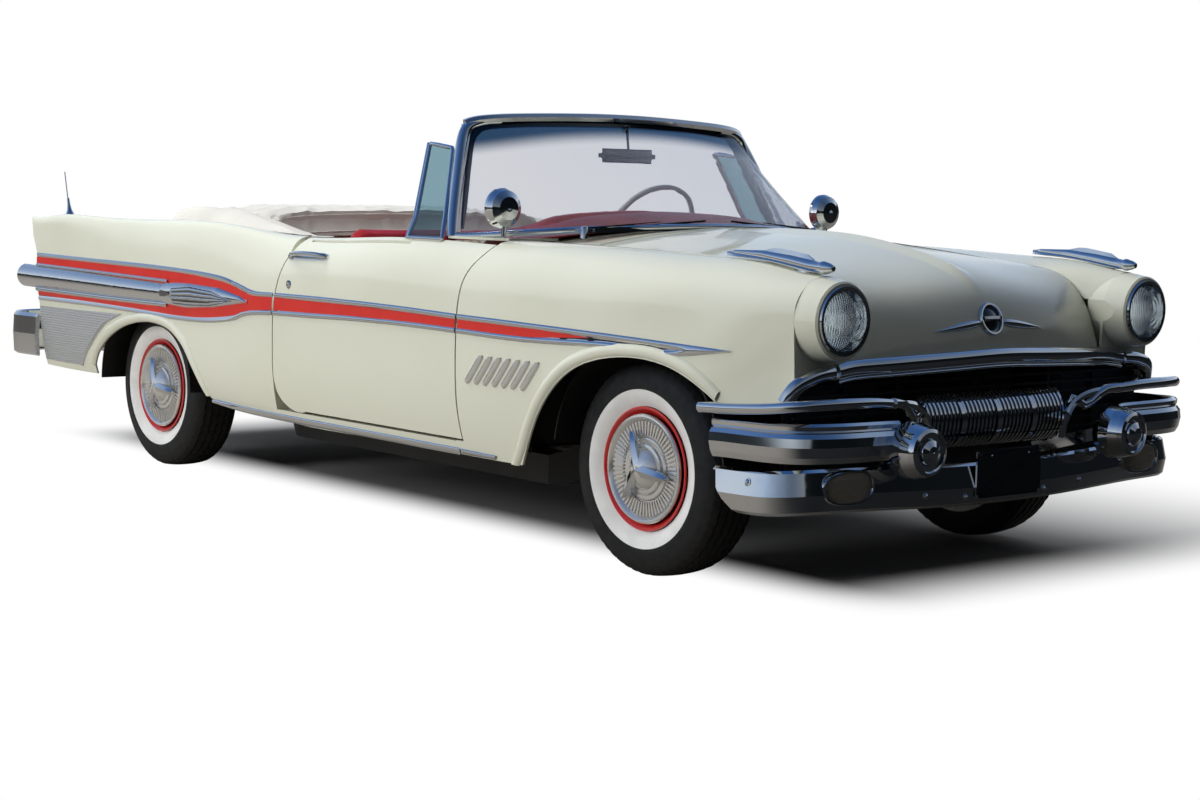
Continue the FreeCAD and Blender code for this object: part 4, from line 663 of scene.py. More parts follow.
def blank_plate(name, x, facing, low, body):
    """A blank plate 305 by 152 mm in the YZ plane with rounded corners and a raised rim."""
    bpy.ops.mesh.primitive_cube_add(size=1)
    plate = bpy.context.object
    plate.name = name
    plate.data.transform(Matrix.Diagonal((0.0016, 0.305, 0.152, 1)))
    bpy.ops.object.mode_set(mode="EDIT")
    mesh = bmesh.from_edit_mesh(plate.data)
    corners = [e for e in mesh.edges if abs(e.verts[0].co.x - e.verts[1].co.x) > 0.001]
    bmesh.ops.bevel(mesh, geom=corners, offset=0.012, segments=5, affect="EDGES")
    front = [f for f in mesh.faces if f.normal.x * facing > 0.9]
    bmesh.ops.inset_region(mesh, faces=front, thickness=0.0045, depth=0.0)
    bmesh.ops.inset_region(mesh, faces=front, thickness=0.0035, depth=0.0022)
    bmesh.update_edit_mesh(plate.data)
    bpy.ops.object.mode_set(mode="OBJECT")
    plate.data.transform(Matrix.Translation((x, 0, low + 0.076)))
    tidy_mesh(plate)
    plate.data.materials.append(plate_black)
    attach(plate, body)


blank_plate("front_plate", FRONT_AXLE_X + 0.7755, 1, 0.294, "root")


def screw_head(place, axis, radius=0.009, rise=0.006):
    """A low domed head on a washer, its flat side on the surface."""
    head = spin_section("screw", [(0.0, rise), (radius * 0.45, rise * 0.88), (radius * 0.75, rise * 0.55),
                        (radius * 0.9, rise * 0.25), (radius * 1.25, rise * 0.22), (radius * 1.3, -0.001),
                        (0.0, -0.001)], 16, (0, 0, 0), "Z")
    turn = Vector((0, 0, 1)).rotation_difference(Vector(axis)).to_matrix().to_4x4()
    head.data.transform(Matrix.Translation(place) @ turn)
    return head


heads = [screw_head((2.5836, y, 0.424), (1, 0, 0), 0.005, 0.004) for y in (-0.089, 0.089)]
heads = join_pieces("plate_screws", heads)
heads.data.materials.append(chrome)
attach(heads, "root")

# Hood medallion: a plain cast roundel with a concentric step, on a pair of slim swept wings,
# chromed, held by studs through the hood. It is blank.
dark_glaze = toned_finish("smoke black glazed enamel", 40.0, 2.0, ("#1B1D20", "#34363A"), (0.0, 1.0),
                          {"Roughness": 0.12, "Coat Weight": 1.0, "Coat Roughness": 0.03})[0]
lean = Matrix.Rotation(math.radians(-17), 4, "Y")
seat = Matrix.Translation((FRONT_AXLE_X + 0.673, 0, 0.84)) @ lean
ring = spin_section("medallion_ring", [(0.053, -0.014), (0.053, 0.007), (0.05, 0.012), (0.045, 0.012),
                    (0.042, 0.007), (0.04, -0.014)], 64, (0, 0, 0), "X")
disc = spin_section("medallion_disc", [(0.0, 0.013), (0.018, 0.0115), (0.033, 0.006), (0.0415, 0.001),
                    (0.0415, -0.01), (0.0, -0.01)], 48, (0, 0, 0), "X")
disc.data.materials.append(dark_glaze)
ring.data.materials.append(chrome)
bpy.ops.mesh.primitive_cube_add(size=1)
bar = bpy.context.object
bar.name = "medallion_bar"
bar.data.transform(Matrix.Diagonal((0.01, 0.084, 0.011, 1)))
bpy.ops.object.mode_set(mode="EDIT")
bpy.ops.mesh.select_all(action="SELECT")
bpy.ops.mesh.subdivide(number_cuts=3)
bpy.ops.mesh.bevel(offset=0.002, segments=2)
bpy.ops.object.mode_set(mode="OBJECT")
bar.data.transform(Matrix.Translation((0.012, 0, 0.002)))
bar.data.materials.append(chrome)
for piece in (ring, disc, bar):
    piece.data.transform(seat)
    tidy_mesh(piece, 35)
    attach(piece, "hood")
WING_ROOT, WING_SPAN, WING_Z = 0.046, 0.222, 0.832
for side, hand in HANDS:
    bpy.ops.mesh.primitive_uv_sphere_add(segments=24, ring_count=16, radius=1)
    wing = bpy.context.object
    wing.name = "medallion_wing_" + hand
    for vertex in wing.data.vertices:
        out = (vertex.co.y + 1) / 2
        taper = (1 - out) ** 0.75 + 0.03
        vertex.co = (vertex.co.x * 0.013 * taper, WING_ROOT + out * WING_SPAN, vertex.co.z * 0.017 * taper)
    for vertex in wing.data.vertices:
        out = (vertex.co.y - WING_ROOT) / WING_SPAN
        level = WING_Z - 0.026 * out
        surface = NODES["hood"].ray_cast(Vector((3.2, side * vertex.co.y, level)), Vector((-1, 0, 0)))
        front = surface[1].x if surface[0] else 2.46
        vertex.co = (front + 0.004 + vertex.co.x, side * vertex.co.y, level + vertex.co.z)
    tidy_mesh(wing, 40)
    wing.data.materials.append(chrome)
    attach(wing, "hood")

# Fender ornaments: die-cast chromed darts on the crests of both front fenders, each a tapering
# barrel with a ringed nose on a thin swept plane.
for side, hand in HANDS:
    barrel = spin_section("dart", [(0.0, 0.69), (0.009, 0.686), (0.015, 0.672), (0.0175, 0.66), (0.02, 0.652),
                          (0.02, 0.644), (0.0165, 0.636), (0.019, 0.6), (0.018, 0.52), (0.014, 0.4),
                          (0.006, 0.28), (0.0, 0.24)], 32, (0, 0, 0), "X")
    plane = flat_grid("dart_plane", 24, 8)
    for vertex in plane.data.vertices:
        along = (vertex.co.x + 1) / 2
        half = 0.026 * along ** 0.55
        if along >= 0.82:
            half *= math.sqrt(max(0.02, 1 - ((along - 0.82) / 0.19) ** 2))
        vertex.co = (0.245 + along * 0.395, vertex.co.y * half, -0.004 - 0.01 * abs(vertex.co.y) ** 2)
    give_wall(plane, 0.006, 0)
    bpy.ops.mesh.primitive_cube_add(size=1)
    fin = bpy.context.object
    bpy.ops.object.mode_set(mode="EDIT")
    bpy.ops.mesh.select_all(action="SELECT")
    bpy.ops.mesh.subdivide(number_cuts=6)
    bpy.ops.object.mode_set(mode="OBJECT")
    for vertex in fin.data.vertices:
        along, up = vertex.co.x + 0.5, vertex.co.z + 0.5
        top = 0.03 * min(1.0, (1 - along) * 6 + 0.55) * min(1.0, along * 2.2 + 0.25)
        vertex.co = (0.4 + 0.235 * along - 0.02 * up, vertex.co.y * (0.016 - 0.009 * up), up * top)
    dart = join_pieces("fender_dart_" + hand, [barrel, plane, fin])
    fender = NODES["fender_" + hand]
    for vertex in dart.data.vertices:
        x, y, z = vertex.co
        w = 0.735 - 0.01 * (x - 0.24) / 0.45 + y * -side
        probe = max(min(x, 0.62), 0.22)
        hit = fender.ray_cast(Vector((FRONT_AXLE_X + probe, side * 0.73, 1.4)), Vector((0, 0, -1)))
        crest = hit[1].z if hit[0] else 1.0
        if x > 0.62:
            crest -= (x - 0.62) * 0.02
        vertex.co = (FRONT_AXLE_X + x, side * w, crest + 0.02 + z)
    foot = screw_head((0, 0, 0), (0, 0, 1), 0.012, 0.01)
    foot.data.transform(Matrix.Diagonal((2.4, 1.0, 2.6, 1)))
    foot_at = (FRONT_AXLE_X + 0.56, side * 0.729)
    hit = fender.ray_cast(Vector((*foot_at, 1.4)), Vector((0, 0, -1)))
    foot.data.transform(Matrix.Translation((*foot_at, hit[1].z - 0.004)))
    dart = join_pieces("fender_dart_" + hand, [dart, foot])
    tidy_mesh(dart, 40)
    dart.data.materials.append(chrome)
    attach(dart, "root")

# Windshield: laminated safety glass in a stainless frame, faintly tinted, with a dark blue painted reflection of
# trees and sky along its upper edge, wider towards the sides. The vent panes are darkened blue-green, a painted
# reflection too.
sheet_glass, tree = start_material("laminated green-tinted sheet glass")
coords = add_node(tree, "ShaderNodeTexCoord")
smear = add_node(tree, "ShaderNodeTexNoise", {"Vector": coords.outputs["Object"], "Scale": 5.0, "Detail": 4.0})
film = add_node(tree, "ShaderNodeMapRange", {"Value": smear.outputs["Fac"], "To Min": 0.0, "To Max": 0.03})
where = add_node(tree, "ShaderNodeSeparateXYZ", {0: coords.outputs["Object"]})
outward = add_node(tree, "ShaderNodeMath", {0: where.outputs["Y"], 1: 2.0}, operation="POWER")
outward = add_node(tree, "ShaderNodeMath", {0: outward.outputs[0], 1: 0.13}, operation="MULTIPLY")
level = add_node(tree, "ShaderNodeMath", {0: where.outputs["Z"], 1: outward.outputs[0]}, operation="ADD")
# Painted reflection: the glass turns dark blue near its top edge, starting lower at its sides.
painted_reflection_band = add_node(tree, "ShaderNodeMapRange", {"Value": level.outputs[0], "From Min": 1.385, "From Max": 1.445},
                interpolation_type="SMOOTHSTEP")
glass_tint_with_painted_reflection = add_node(tree, "ShaderNodeMix", {0: painted_reflection_band.outputs[0], 6: linear("#D3D5DA"), 7: linear("#2C4560")},
               data_type="RGBA")
pane = add_node(tree, "ShaderNodeBsdfPrincipled", {
    "Base Color": glass_tint_with_painted_reflection.outputs[2], "Roughness": film.outputs[0], "IOR": 1.45, "Transmission Weight": 1.0})
add_node(tree, "ShaderNodeOutputMaterial", {"Surface": pane.outputs[0]})
vent_glass_painted_reflection, tree = start_material("vent glass darkened blue-green as a painted reflection")
coords = add_node(tree, "ShaderNodeTexCoord")
smear = add_node(tree, "ShaderNodeTexNoise", {"Vector": coords.outputs["Object"], "Scale": 7.0, "Detail": 3.0})
film = add_node(tree, "ShaderNodeMapRange", {"Value": smear.outputs["Fac"], "To Min": 0.0, "To Max": 0.03})
# Painted reflection: the vent panes are coloured dark blue-green for the scene that they reflect.
pane = add_node(tree, "ShaderNodeBsdfPrincipled", {
    "Base Color": linear("#7FA0A8"), "Roughness": film.outputs[0], "IOR": 1.45, "Transmission Weight": 1.0})
add_node(tree, "ShaderNodeOutputMaterial", {"Surface": pane.outputs[0]})
finish_nodes(sheet_glass, "windshield_glass")

# Rear-view mirror: a moulded shell with a rolled edge, in dark glazed enamel, on a turned stalk
# that is screwed to the windshield's header.
INNER_MIRROR_AT = (FRONT_AXLE_X - 1.1, 0.0, 1.345)
bpy.ops.mesh.primitive_cube_add(size=1)
mirror_shell = bpy.context.object
mirror_shell.name = "inner_mirror"
mirror_shell.data.transform(Matrix.Diagonal((0.022, 0.262, 0.052, 1)))
bpy.ops.object.mode_set(mode="EDIT")
mesh = bmesh.from_edit_mesh(mirror_shell.data)
long_edges = [e for e in mesh.edges if abs(e.verts[0].co.x - e.verts[1].co.x) > 0.01]
bmesh.ops.bevel(mesh, geom=long_edges, offset=0.018, segments=5, affect="EDGES")
front = [f for f in mesh.faces if f.normal.x > 0.9]
bmesh.ops.inset_region(mesh, faces=front, thickness=0.008, depth=0.006)
back = [f for f in mesh.faces if f.normal.x < -0.9]
bmesh.ops.inset_region(mesh, faces=back, thickness=0.004, depth=-0.002)
bmesh.update_edit_mesh(mirror_shell.data)
bpy.ops.object.mode_set(mode="OBJECT")
mirror_shell.data.transform(Matrix.Translation(INNER_MIRROR_AT))
tidy_mesh(mirror_shell, 40)
stalk = spin_section("mirror_stalk", [(0.0, 0.0), (0.005, 0.0), (0.0045, 0.05), (0.006, 0.09),
                     (0.014, 0.096), (0.014, 0.101), (0.0, 0.101)], 16, (0, 0, 0), "Z")
stalk_foot = Matrix.Translation((INNER_MIRROR_AT[0] + 0.008, 0, 1.36))
stalk.data.transform(stalk_foot @ Matrix.Rotation(math.radians(-8), 4, "Y"))
mirror_shell.data.materials.append(dark_glaze)
stalk.data.materials.append(dark_glaze)
for piece in (mirror_shell, stalk):
    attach(piece, "root")

# Wipers: a tapering chromed arm and its blade on a splined hub on each side, parked along the foot
# of the glass.
for side, hand in HANDS:
    pivot = Vector((FRONT_AXLE_X - 0.662, side * 0.56, 1.072))
    tip = Vector((FRONT_AXLE_X - 0.59, side * 0.06, 1.112))
    arm = []
    hub = spin_section("hub", [(0.0, 0.022), (0.01, 0.02), (0.014, 0.012), (0.016, -0.02), (0.0, -0.02)],
                       20, pivot, "Z")
    run = tip - pivot
    turn = Vector((1, 0, 0)).rotation_difference(run.normalized()).to_matrix().to_4x4()
    for length, width, height, lift, shift in ((0.62, 0.01, 0.005, 0.014, 0.0), (0.92, 0.005, 0.012, 0.004, 0.08)):
        bpy.ops.mesh.primitive_cube_add(size=1)
        stick = bpy.context.object
        bpy.ops.object.mode_set(mode="EDIT")
        bpy.ops.mesh.select_all(action="SELECT")
        bpy.ops.mesh.subdivide(number_cuts=4)
        bpy.ops.object.mode_set(mode="OBJECT")
        for vertex in stick.data.vertices:
            along = vertex.co.x + 0.5
            taper = 1.0 - 0.45 * along
            vertex.co = ((along * length + shift) * run.length, vertex.co.y * width * taper,
                         vertex.co.z * height * taper + lift)
        stick.data.transform(Matrix.Translation(pivot) @ turn)
        arm.append(stick)
    wiper = join_pieces("wiper_" + hand, [hub] + arm)
    tidy_mesh(wiper, 35)
    wiper.data.materials.append(chrome)
    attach(wiper, "root")

# Vent windows: a closed frame of chromed channel screwed to each door behind the windshield's pillar,
# with a rear post and a pane of glass darkened blue-green as a painted reflection.
VENT_FOOT_FRONT = (-1085, 858, 1034)
VENT_FOOT_REAR = (-1290, 858, 1034)
VENT_TOP_FRONT = (-1230, 710, 1356)
VENT_TOP_REAR = (-1374, 707, 1374)


def row_point(s, w, z, side):
    """A measured place (mm ahead of the front axle, mm out, mm up) in the row frame."""
    return Vector((FRONT_AXLE_X + s / 1000, side * w / 1000, z / 1000))


def round_bar(name, points, radius, closed=False, sides=12):
    """A bar along a run of points, its ends closed."""
    curve = bpy.data.curves.new(name, "CURVE")
    curve.dimensions = "3D"
    curve.bevel_depth = radius
    curve.bevel_resolution = sides // 4
    curve.use_fill_caps = True
    run = curve.splines.new("POLY")
    run.points.add(len(points) - 1)
    run.use_cyclic_u = closed
    for knot, place in zip(run.points, points):
        knot.co = (place[0], place[1], place[2], 1)
    bar = bpy.data.objects.new(name, curve)
    scene.collection.objects.link(bar)
    bpy.ops.object.select_all(action="DESELECT")
    bar.select_set(True)
    bpy.context.view_layer.objects.active = bar
    bpy.ops.object.convert(target="MESH")
    bar = bpy.context.object
    tidy_mesh(bar, 40)
    return bar


def smooth_path(points, count):
    """Even points along a rounded path through a few places."""
    places = [Vector(p) for p in points]
    ends = [2 * places[0] - places[1]] + places + [2 * places[-1] - places[-2]]
    steps = [(places[k + 1] - places[k]).length for k in range(len(places) - 1)]
    result = []
    for i in range(count):
        reach = sum(steps) * i / (count - 1)
        k = 0
        while k < len(steps) - 1 and reach > steps[k]:
            reach -= steps[k]
            k += 1
        t = min(1.0, reach / steps[k])
        a, b, c, d = ends[k:k + 4]
        result.append(0.5 * (2 * b + (c - a) * t + (2 * a - 5 * b + 4 * c - d) * t ** 2
                             + (3 * b - a - 3 * c + d) * t ** 3))
    return result


for side, hand in HANDS:
    corners = [row_point(*p, side) for p in (VENT_FOOT_FRONT, (-1122, 819, 1108), VENT_TOP_FRONT,
                                             VENT_TOP_REAR, (-1298, 817, 1108), VENT_FOOT_REAR)]
    run = []
    for a, b in zip(corners, corners[1:] + corners[:1]):
        run += [a.lerp(b, t) for t in (0.04, 0.35, 0.65, 0.96)]
    frame_bar = round_bar("vent_frame", run, 0.0085, closed=True)
    rear_post = round_bar("vent_post", [corners[3] + Vector((-0.01, 0, 0)), corners[4] + Vector((-0.012, 0, 0)),
                                        corners[5] + Vector((-0.01, 0, -0.004))], 0.0075)
    frame_bar = join_pieces("vent_frame_" + hand, [frame_bar, rear_post])
    frame_bar.data.materials.append(chrome)
    mesh = bpy.data.meshes.new("vent_glass_" + hand)
    mesh.from_pydata([tuple(c) for c in corners], [], [(0, 1, 4, 5), (1, 2, 3, 4)])
    sheet = bpy.data.objects.new("vent_glass_" + hand, mesh)
    scene.collection.objects.link(sheet)
    give_wall(sheet, 0.005, 0)
    tidy_mesh(sheet, 20)
    sheet.data.materials.append(vent_glass_painted_reflection)
    for piece, slot in ((frame_bar, "chrome"), (sheet, "glass")):
        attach(piece, "door_" + hand)
        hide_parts("vent_window_" + hand)

# Belt moulding: a polished stainless bead, drawn as one rod and clipped over the cowl along the
# foot of the windshield.
bead_run = [row_point(*p, -1) for p in ((-1062, 822, 1046), (-960, 806, 1050), (-836, 738, 1062),
                                        (-704, 578, 1077), (-620, 306, 1090), (-590, 0, 1096))]
bead_run += [Vector((p.x, -p.y, p.z)) for p in reversed(bead_run[:-1])]
smooth_bead = []
for i in range(len(bead_run) - 1):
    before = bead_run[max(i - 1, 0)]
    after = bead_run[min(i + 2, len(bead_run) - 1)]
    a, b = bead_run[i], bead_run[i + 1]
    for t in (0.0, 0.25, 0.5, 0.75):
        pull_a, pull_b = (b - before) / 2, (after - a) / 2
        smooth_bead.append((2 * t ** 3 - 3 * t ** 2 + 1) * a + (t ** 3 - 2 * t ** 2 + t) * pull_a
                           + (3 * t ** 2 - 2 * t ** 3) * b + (t ** 3 - t ** 2) * pull_b)
smooth_bead.append(bead_run[-1])
bead = round_bar("windshield_bead", smooth_bead, 0.011)
bead.data.materials.append(chrome)
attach(bead, "root")

# Dashboard top: a padded roll of grained red vinyl over the cowl behind the glass, raised at the
# middle, stretched over foam and tucked under the belt moulding.
def grained_vinyl(name, drift_scale, tones, grain_scale, grain_depth, roughness):
    """Calendered vinyl with a fine embossed grain."""
    vinyl, _, surface = toned_finish(name, drift_scale, 4.0, tones, (0.3, 0.75), {"Roughness": roughness})
    tree = vinyl.node_tree
    coords = add_node(tree, "ShaderNodeTexCoord")
    grain = add_node(tree, "ShaderNodeTexVoronoi", {"Vector": coords.outputs["Object"], "Scale": grain_scale})
    emboss = add_node(tree, "ShaderNodeBump", {"Height": grain.outputs["Distance"], "Strength": grain_depth,
                                               "Distance": 0.0006})
    tree.links.new(emboss.outputs[0], surface.inputs["Normal"])
    return vinyl


red_vinyl = grained_vinyl("grained red vinyl", 6.0, ("#8E1517", "#A61F20"), 620.0, 0.35, 0.42)
dash_pad = flat_grid("dash_pad", 28, 80)
for vertex in dash_pad.data.vertices:
    across_car, back = vertex.co.y, (1 - vertex.co.x) / 2
    y = across_car * 0.7
    front = -0.66 - 0.15 * abs(across_car) ** 2.4
    rear = -1.068 + 0.01 * abs(across_car)
    s = front + (rear - front) * back
    hump = 0.034 / (1 + math.exp((abs(y) - 0.455) / 0.028))
    cowl_z = 1.112 - 0.066 * abs(across_car) ** 1.8 * 0.9 - 0.018 * (1 - back)
    rise = 0.006 + hump * (math.sin(math.pi * min(1.0, back * 1.25)) ** 0.7 if back < 0.8 else 0.75)
    if back > 0.93:
        drop = (back - 0.93) / 0.07
        rise -= 0.062 * drop ** 1.5
        s += 0.012 * math.sin(math.pi * drop)
    vertex.co = (FRONT_AXLE_X + s, y, cowl_z + rise)
give_wall(dash_pad, 0.005)
tidy_mesh(dash_pad, 60)
dash_pad.data.materials.append(red_vinyl)
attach(dash_pad, "root")

# Front and rear seats: foam on springs under pleated vinyl, red with ivory pleated middles. The
# shell of each cushion is swelled by a short cloth run, the pleats are laid on after.
ivory_vinyl = grained_vinyl("pleated ivory vinyl", 7.0, ("#CFCDB9", "#DEDCC9"), 640.0, 0.3, 0.45)


def swell(pad, voxel, cap):
    """Remeshes a closed pad and lets its skin swell under pressure, no point moving past the cap."""
    bpy.ops.object.select_all(action="DESELECT")
    pad.select_set(True)
    bpy.context.view_layer.objects.active = pad
    remesh = pad.modifiers.new("remesh", "REMESH")
    remesh.mode = "VOXEL"
    remesh.voxel_size = voxel
    bpy.ops.object.modifier_apply(modifier="remesh")
    rest = [v.co.copy() for v in pad.data.vertices]
    cloth = pad.modifiers.new("cloth", "CLOTH")
    cloth.settings.use_pressure = True
    cloth.settings.uniform_pressure_force = PRESSURE
    cloth.settings.quality = 4
    cloth.settings.mass = 0.3
    cloth.settings.tension_stiffness = 12
    cloth.settings.compression_stiffness = 12
    cloth.settings.bending_stiffness = 0.8
    cloth.settings.effector_weights.gravity = 0
    cloth.collision_settings.use_collision = False
    cloth.point_cache.frame_end = 20
    for frame_number in range(1, 21):
        scene.frame_set(frame_number)
    bpy.ops.object.modifier_apply(modifier="cloth")
    scene.frame_set(1)
    for vertex, start in zip(pad.data.vertices, rest):
        moved = vertex.co - start
        if moved.length > cap:
            vertex.co = start + moved * (cap / moved.length)
    tidy_mesh(pad, 60)


def ring_skin(name, rings, smooth_angle):
    """Rings of points joined into one closed skin, the first and the last ring capped."""
    count = len(rings[0])
    verts = [point for ring in rings for point in ring]
    faces = [tuple(range(count)), tuple(reversed(range(len(verts) - count, len(verts))))]
    for r in range(len(rings) - 1):
        for k in range(count):
            a, b = r * count + k, r * count + (k + 1) % count
            faces.append((a, b, b + count, a + count))
    mesh = bpy.data.meshes.new(name)
    mesh.from_pydata(verts, [], faces)
    piece = bpy.data.objects.new(name, mesh)
    scene.collection.objects.link(piece)
    tidy_mesh(piece, smooth_angle)
    return piece


def seat_pad(name, outline, half, pinch, skin):
    """A long cushion across the car from its side outline (s, z), its ends drawn in and rounded."""
    centre_s = sum(s for s, z in outline) / len(outline)
    centre_z = sum(z for s, z in outline) / len(outline)
    stations = [(-1.0, pinch), (-0.985, pinch * 0.45), (-0.95, pinch * 0.12), (-0.88, 0.0)]
    stations = stations + [(-t, p) for t, p in reversed(stations)]
    rings = []
    for across_car, inset in stations:
        rings.append([])
        for s, z in outline:
            away = Vector((s - centre_s, z - centre_z))
            away = away * (1 - inset / max(away.length, 1.0))
            rings[-1].append((FRONT_AXLE_X + (centre_s + away.x) / 1000, across_car * half / 1000,
                              (centre_z + away.y) / 1000))
    pad = ring_skin(name, rings, 60)
    pad.data.materials.append(skin)
    return pad


def pleat_panel(name, base, first, second, outward, half, pitch, lift, skin):
    """Pleats laid on a cushion between two places of its side line, sewn channels between them."""
    panel = flat_grid(name, 14, int(2 * half / pitch) * 8)
    for vertex in panel.data.vertices:
        along, y = (vertex.co.x + 1) / 2, vertex.co.y * half / 1000
        s = first[0] + (second[0] - first[0]) * along
        z = first[1] + (second[1] - first[1]) * along
        vertex.co = (FRONT_AXLE_X + s / 1000, y, z / 1000)
    push = Vector((outward[0], 0, outward[1])).normalized()
    for vertex in panel.data.vertices:
        far = vertex.co + push * 0.12
        hit = base.ray_cast(far, -push, distance=0.3)
        spot = hit[1] if hit[0] else vertex.co
        phase = (vertex.co.y * 1000 / pitch) % 1.0
        edge = min(1.0, (1 - abs(vertex.co.y) * 1000 / half) * 12)
        vertex.co = spot + push * (lift * (math.sin(math.pi * phase) ** 0.6) * edge - 0.0015)
    give_wall(panel, 0.004)
    tidy_mesh(panel, 60)
    panel.data.materials.append(skin)
    return panel


FRONT_CUSHION = [(-1400, 330), (-1404, 470), (-1425, 560), (-1480, 580), (-1640, 572), (-1830, 552), (-1890, 530),
                 (-1888, 330)]
FRONT_BACK = [(-1868, 420), (-1880, 560), (-1918, 760), (-1948, 940), (-1972, 1042), (-2010, 1063), (-2042, 1048),
              (-2056, 960), (-2040, 740), (-2010, 420)]
REAR_CUSHION = [(-2252, 448), (-2250, 560), (-2270, 610), (-2330, 620), (-2480, 600), (-2546, 585), (-2548, 448)]
REAR_BACK = [(-2500, 600), (-2505, 720), (-2512, 900), (-2500, 1010), (-2530, 1040), (-2570, 1036), (-2596, 980),
             (-2592, 640)]
seats = []
PRESSURE = 4.0
for name, outline, half, pinch, cap in (
        ("front_cushion_pad", FRONT_CUSHION, 690, 34, 0.016), ("front_back_pad", FRONT_BACK, 640, 44, 0.018),
        ("rear_cushion_pad", REAR_CUSHION, 626, 30, 0.014), ("rear_back_pad", REAR_BACK, 626, 36, 0.014)):
    pad = seat_pad(name, outline, half, pinch, ivory_vinyl if name == "rear_back_pad" else red_vinyl)
    swell(pad, 0.012, cap)
    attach(pad, "root")
    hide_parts("front_seat" if name.startswith("front") else "rear_seat")
    seats.append(pad)
for base, name, first, second, push, half in (
        (seats[0], "front_cushion_pleats", (-1440, 575), (-1850, 550), (0.05, 1), 560),
        (seats[1], "front_back_pleats", (-1890, 620), (-1965, 1000), (1, 0.2), 540),
        (seats[2], "rear_cushion_pleats", (-2285, 615), (-2480, 600), (0.05, 1), 520),
        (seats[3], "rear_back_pleats", (-2505, 680), (-2500, 990), (1, 0.05), 520)):
    panel = pleat_panel(name, base, first, second, push, half, 42.0, 0.009, ivory_vinyl)
    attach(panel, "root")

# Door trims: boards covered in red vinyl with an ivory pleated band, clipped inside each door,
# with a chromed window crank.
for side, hand in HANDS:
    trim = flat_grid("door_trim_" + hand, 60, 40)
    for vertex in trim.data.vertices:
        along, up = (vertex.co.x + 1) / 2, (vertex.co.y + 1) / 2
        s = -930 - along * 930
        z = 420 + up * 560
        pleat = 0.004 * abs(math.sin(math.pi * along * 26)) if 0.42 < up < 0.78 and 0.04 < along < 0.96 else 0.0
        roll = 0.01 * math.exp(-((up - 0.8) / 0.025) ** 2) + 0.008 * math.exp(-((up - 0.4) / 0.02) ** 2)
        edge = min(vertex.co.x + 1, 1 - vertex.co.x, vertex.co.y + 1, 1 - vertex.co.y) * 12
        puff = 0.006 * min(1.0, edge)
        vertex.co = (FRONT_AXLE_X + s / 1000, side * (0.842 - puff - pleat - roll), z / 1000)
    give_wall(trim, 0.004)
    tidy_mesh(trim, 60)
    trim.data.materials.append(red_vinyl)
    trim.data.materials.append(ivory_vinyl)
    for face in trim.data.polygons:
        up = (face.center.z - 0.42) / 0.56
        face.material_index = 1 if 0.42 < up < 0.78 else 0
    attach(trim, "door_" + hand)
    knob = spin_section("crank_hub", [(0.0, 0.03), (0.012, 0.028), (0.016, 0.018), (0.026, 0.006), (0.026, 0.0),
                        (0.0, 0.0)], 24, (0, 0, 0), "Z")
    knob.data.transform(Matrix.Rotation(math.radians(90 * side), 4, "X"))
    knob.data.transform(Matrix.Translation(row_point(-1260, 834, 640, side)))
    crank = round_bar("crank_arm", [row_point(*p, side) for p in (
        (-1260, 810, 640), (-1290, 806, 600), (-1318, 804, 566))], 0.006)
    grip = round_bar("crank_grip", [row_point(-1318, 806, 566, side), row_point(-1318, 776, 566, side)], 0.01)
    crank = join_pieces("window_crank_" + hand, [knob, crank, grip])
    crank.data.materials.append(chrome)
    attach(crank, "door_" + hand)

# Boot cover: coated white cotton cut in one piece, buttoned over the folded top behind the rear
# seat. It is laid over the bundle and the panels round it, and its slack stands in soft folds.
CLOTH_WEAVE_SCALE = 190.0
white_cloth, _, surface = toned_finish("coated white cotton duck", 4.0, 5.0, ("#C4C2BB", "#D6D3CC"), (0.3, 0.75),
                                       {"Roughness": 0.75, "Sheen Weight": 0.15})
tree = white_cloth.node_tree
coords = add_node(tree, "ShaderNodeTexCoord")
threads = [add_node(tree, "ShaderNodeTexWave", {"Vector": coords.outputs["Object"], "Scale": CLOTH_WEAVE_SCALE},
                    bands_direction=axis) for axis in "XY"]
weave = add_node(tree, "ShaderNodeMath", {0: threads[0].outputs["Fac"], 1: threads[1].outputs["Fac"]},
                 operation="ADD")
thread = add_node(tree, "ShaderNodeBump", {"Height": weave.outputs[0], "Strength": 0.12, "Distance": 0.0004})
tree.links.new(thread.outputs[0], surface.inputs["Normal"])
finish_nodes(white_cloth, "top_boot")
COVER_FRONT, BOOT_FACE, COVER_REAR = -2.452, -2.496, -3.112
COVER_HALF, SKIRT_DROP, PROBED_HALF = 0.722, 0.078, 0.752
cover = flat_grid("boot_cover", 110, 240)
under = [NODES[n] for n in ("top_boot", "rear_deck", "quarter_right", "quarter_left")]


def resting_height(x, y):
    """The height of what lies below a place on the cover."""
    best = 0.9
    for node in under:
        hit = node.ray_cast(Vector((x, y, 1.5)), Vector((0, 0, -1)), distance=0.7)
        if hit[0]:
            best = max(best, hit[1].z)
    return best


heights = {}
steps_across, steps_along = 64, 28
for i in range(steps_along + 1):
    for j in range(steps_across + 1):
        s = COVER_FRONT + (COVER_REAR - COVER_FRONT) * i / steps_along
        y = -PROBED_HALF + 2 * PROBED_HALF * j / steps_across
        heights[(i, j)] = resting_height(FRONT_AXLE_X + s, y)
for _ in range(3):
    softer = {}
    for (i, j), value in heights.items():
        near = [heights[k] for k in ((i - 1, j), (i + 1, j), (i, j - 1), (i, j + 1)) if k in heights]
        softer[(i, j)] = max(value, 0.35 * value + 0.65 * sum(near) / len(near))
    heights = softer


def cover_half(along):
    """Half the cover's width at a share of its length."""
    return COVER_HALF + 0.024 * math.sin(math.pi * along) - 0.03 * along ** 3


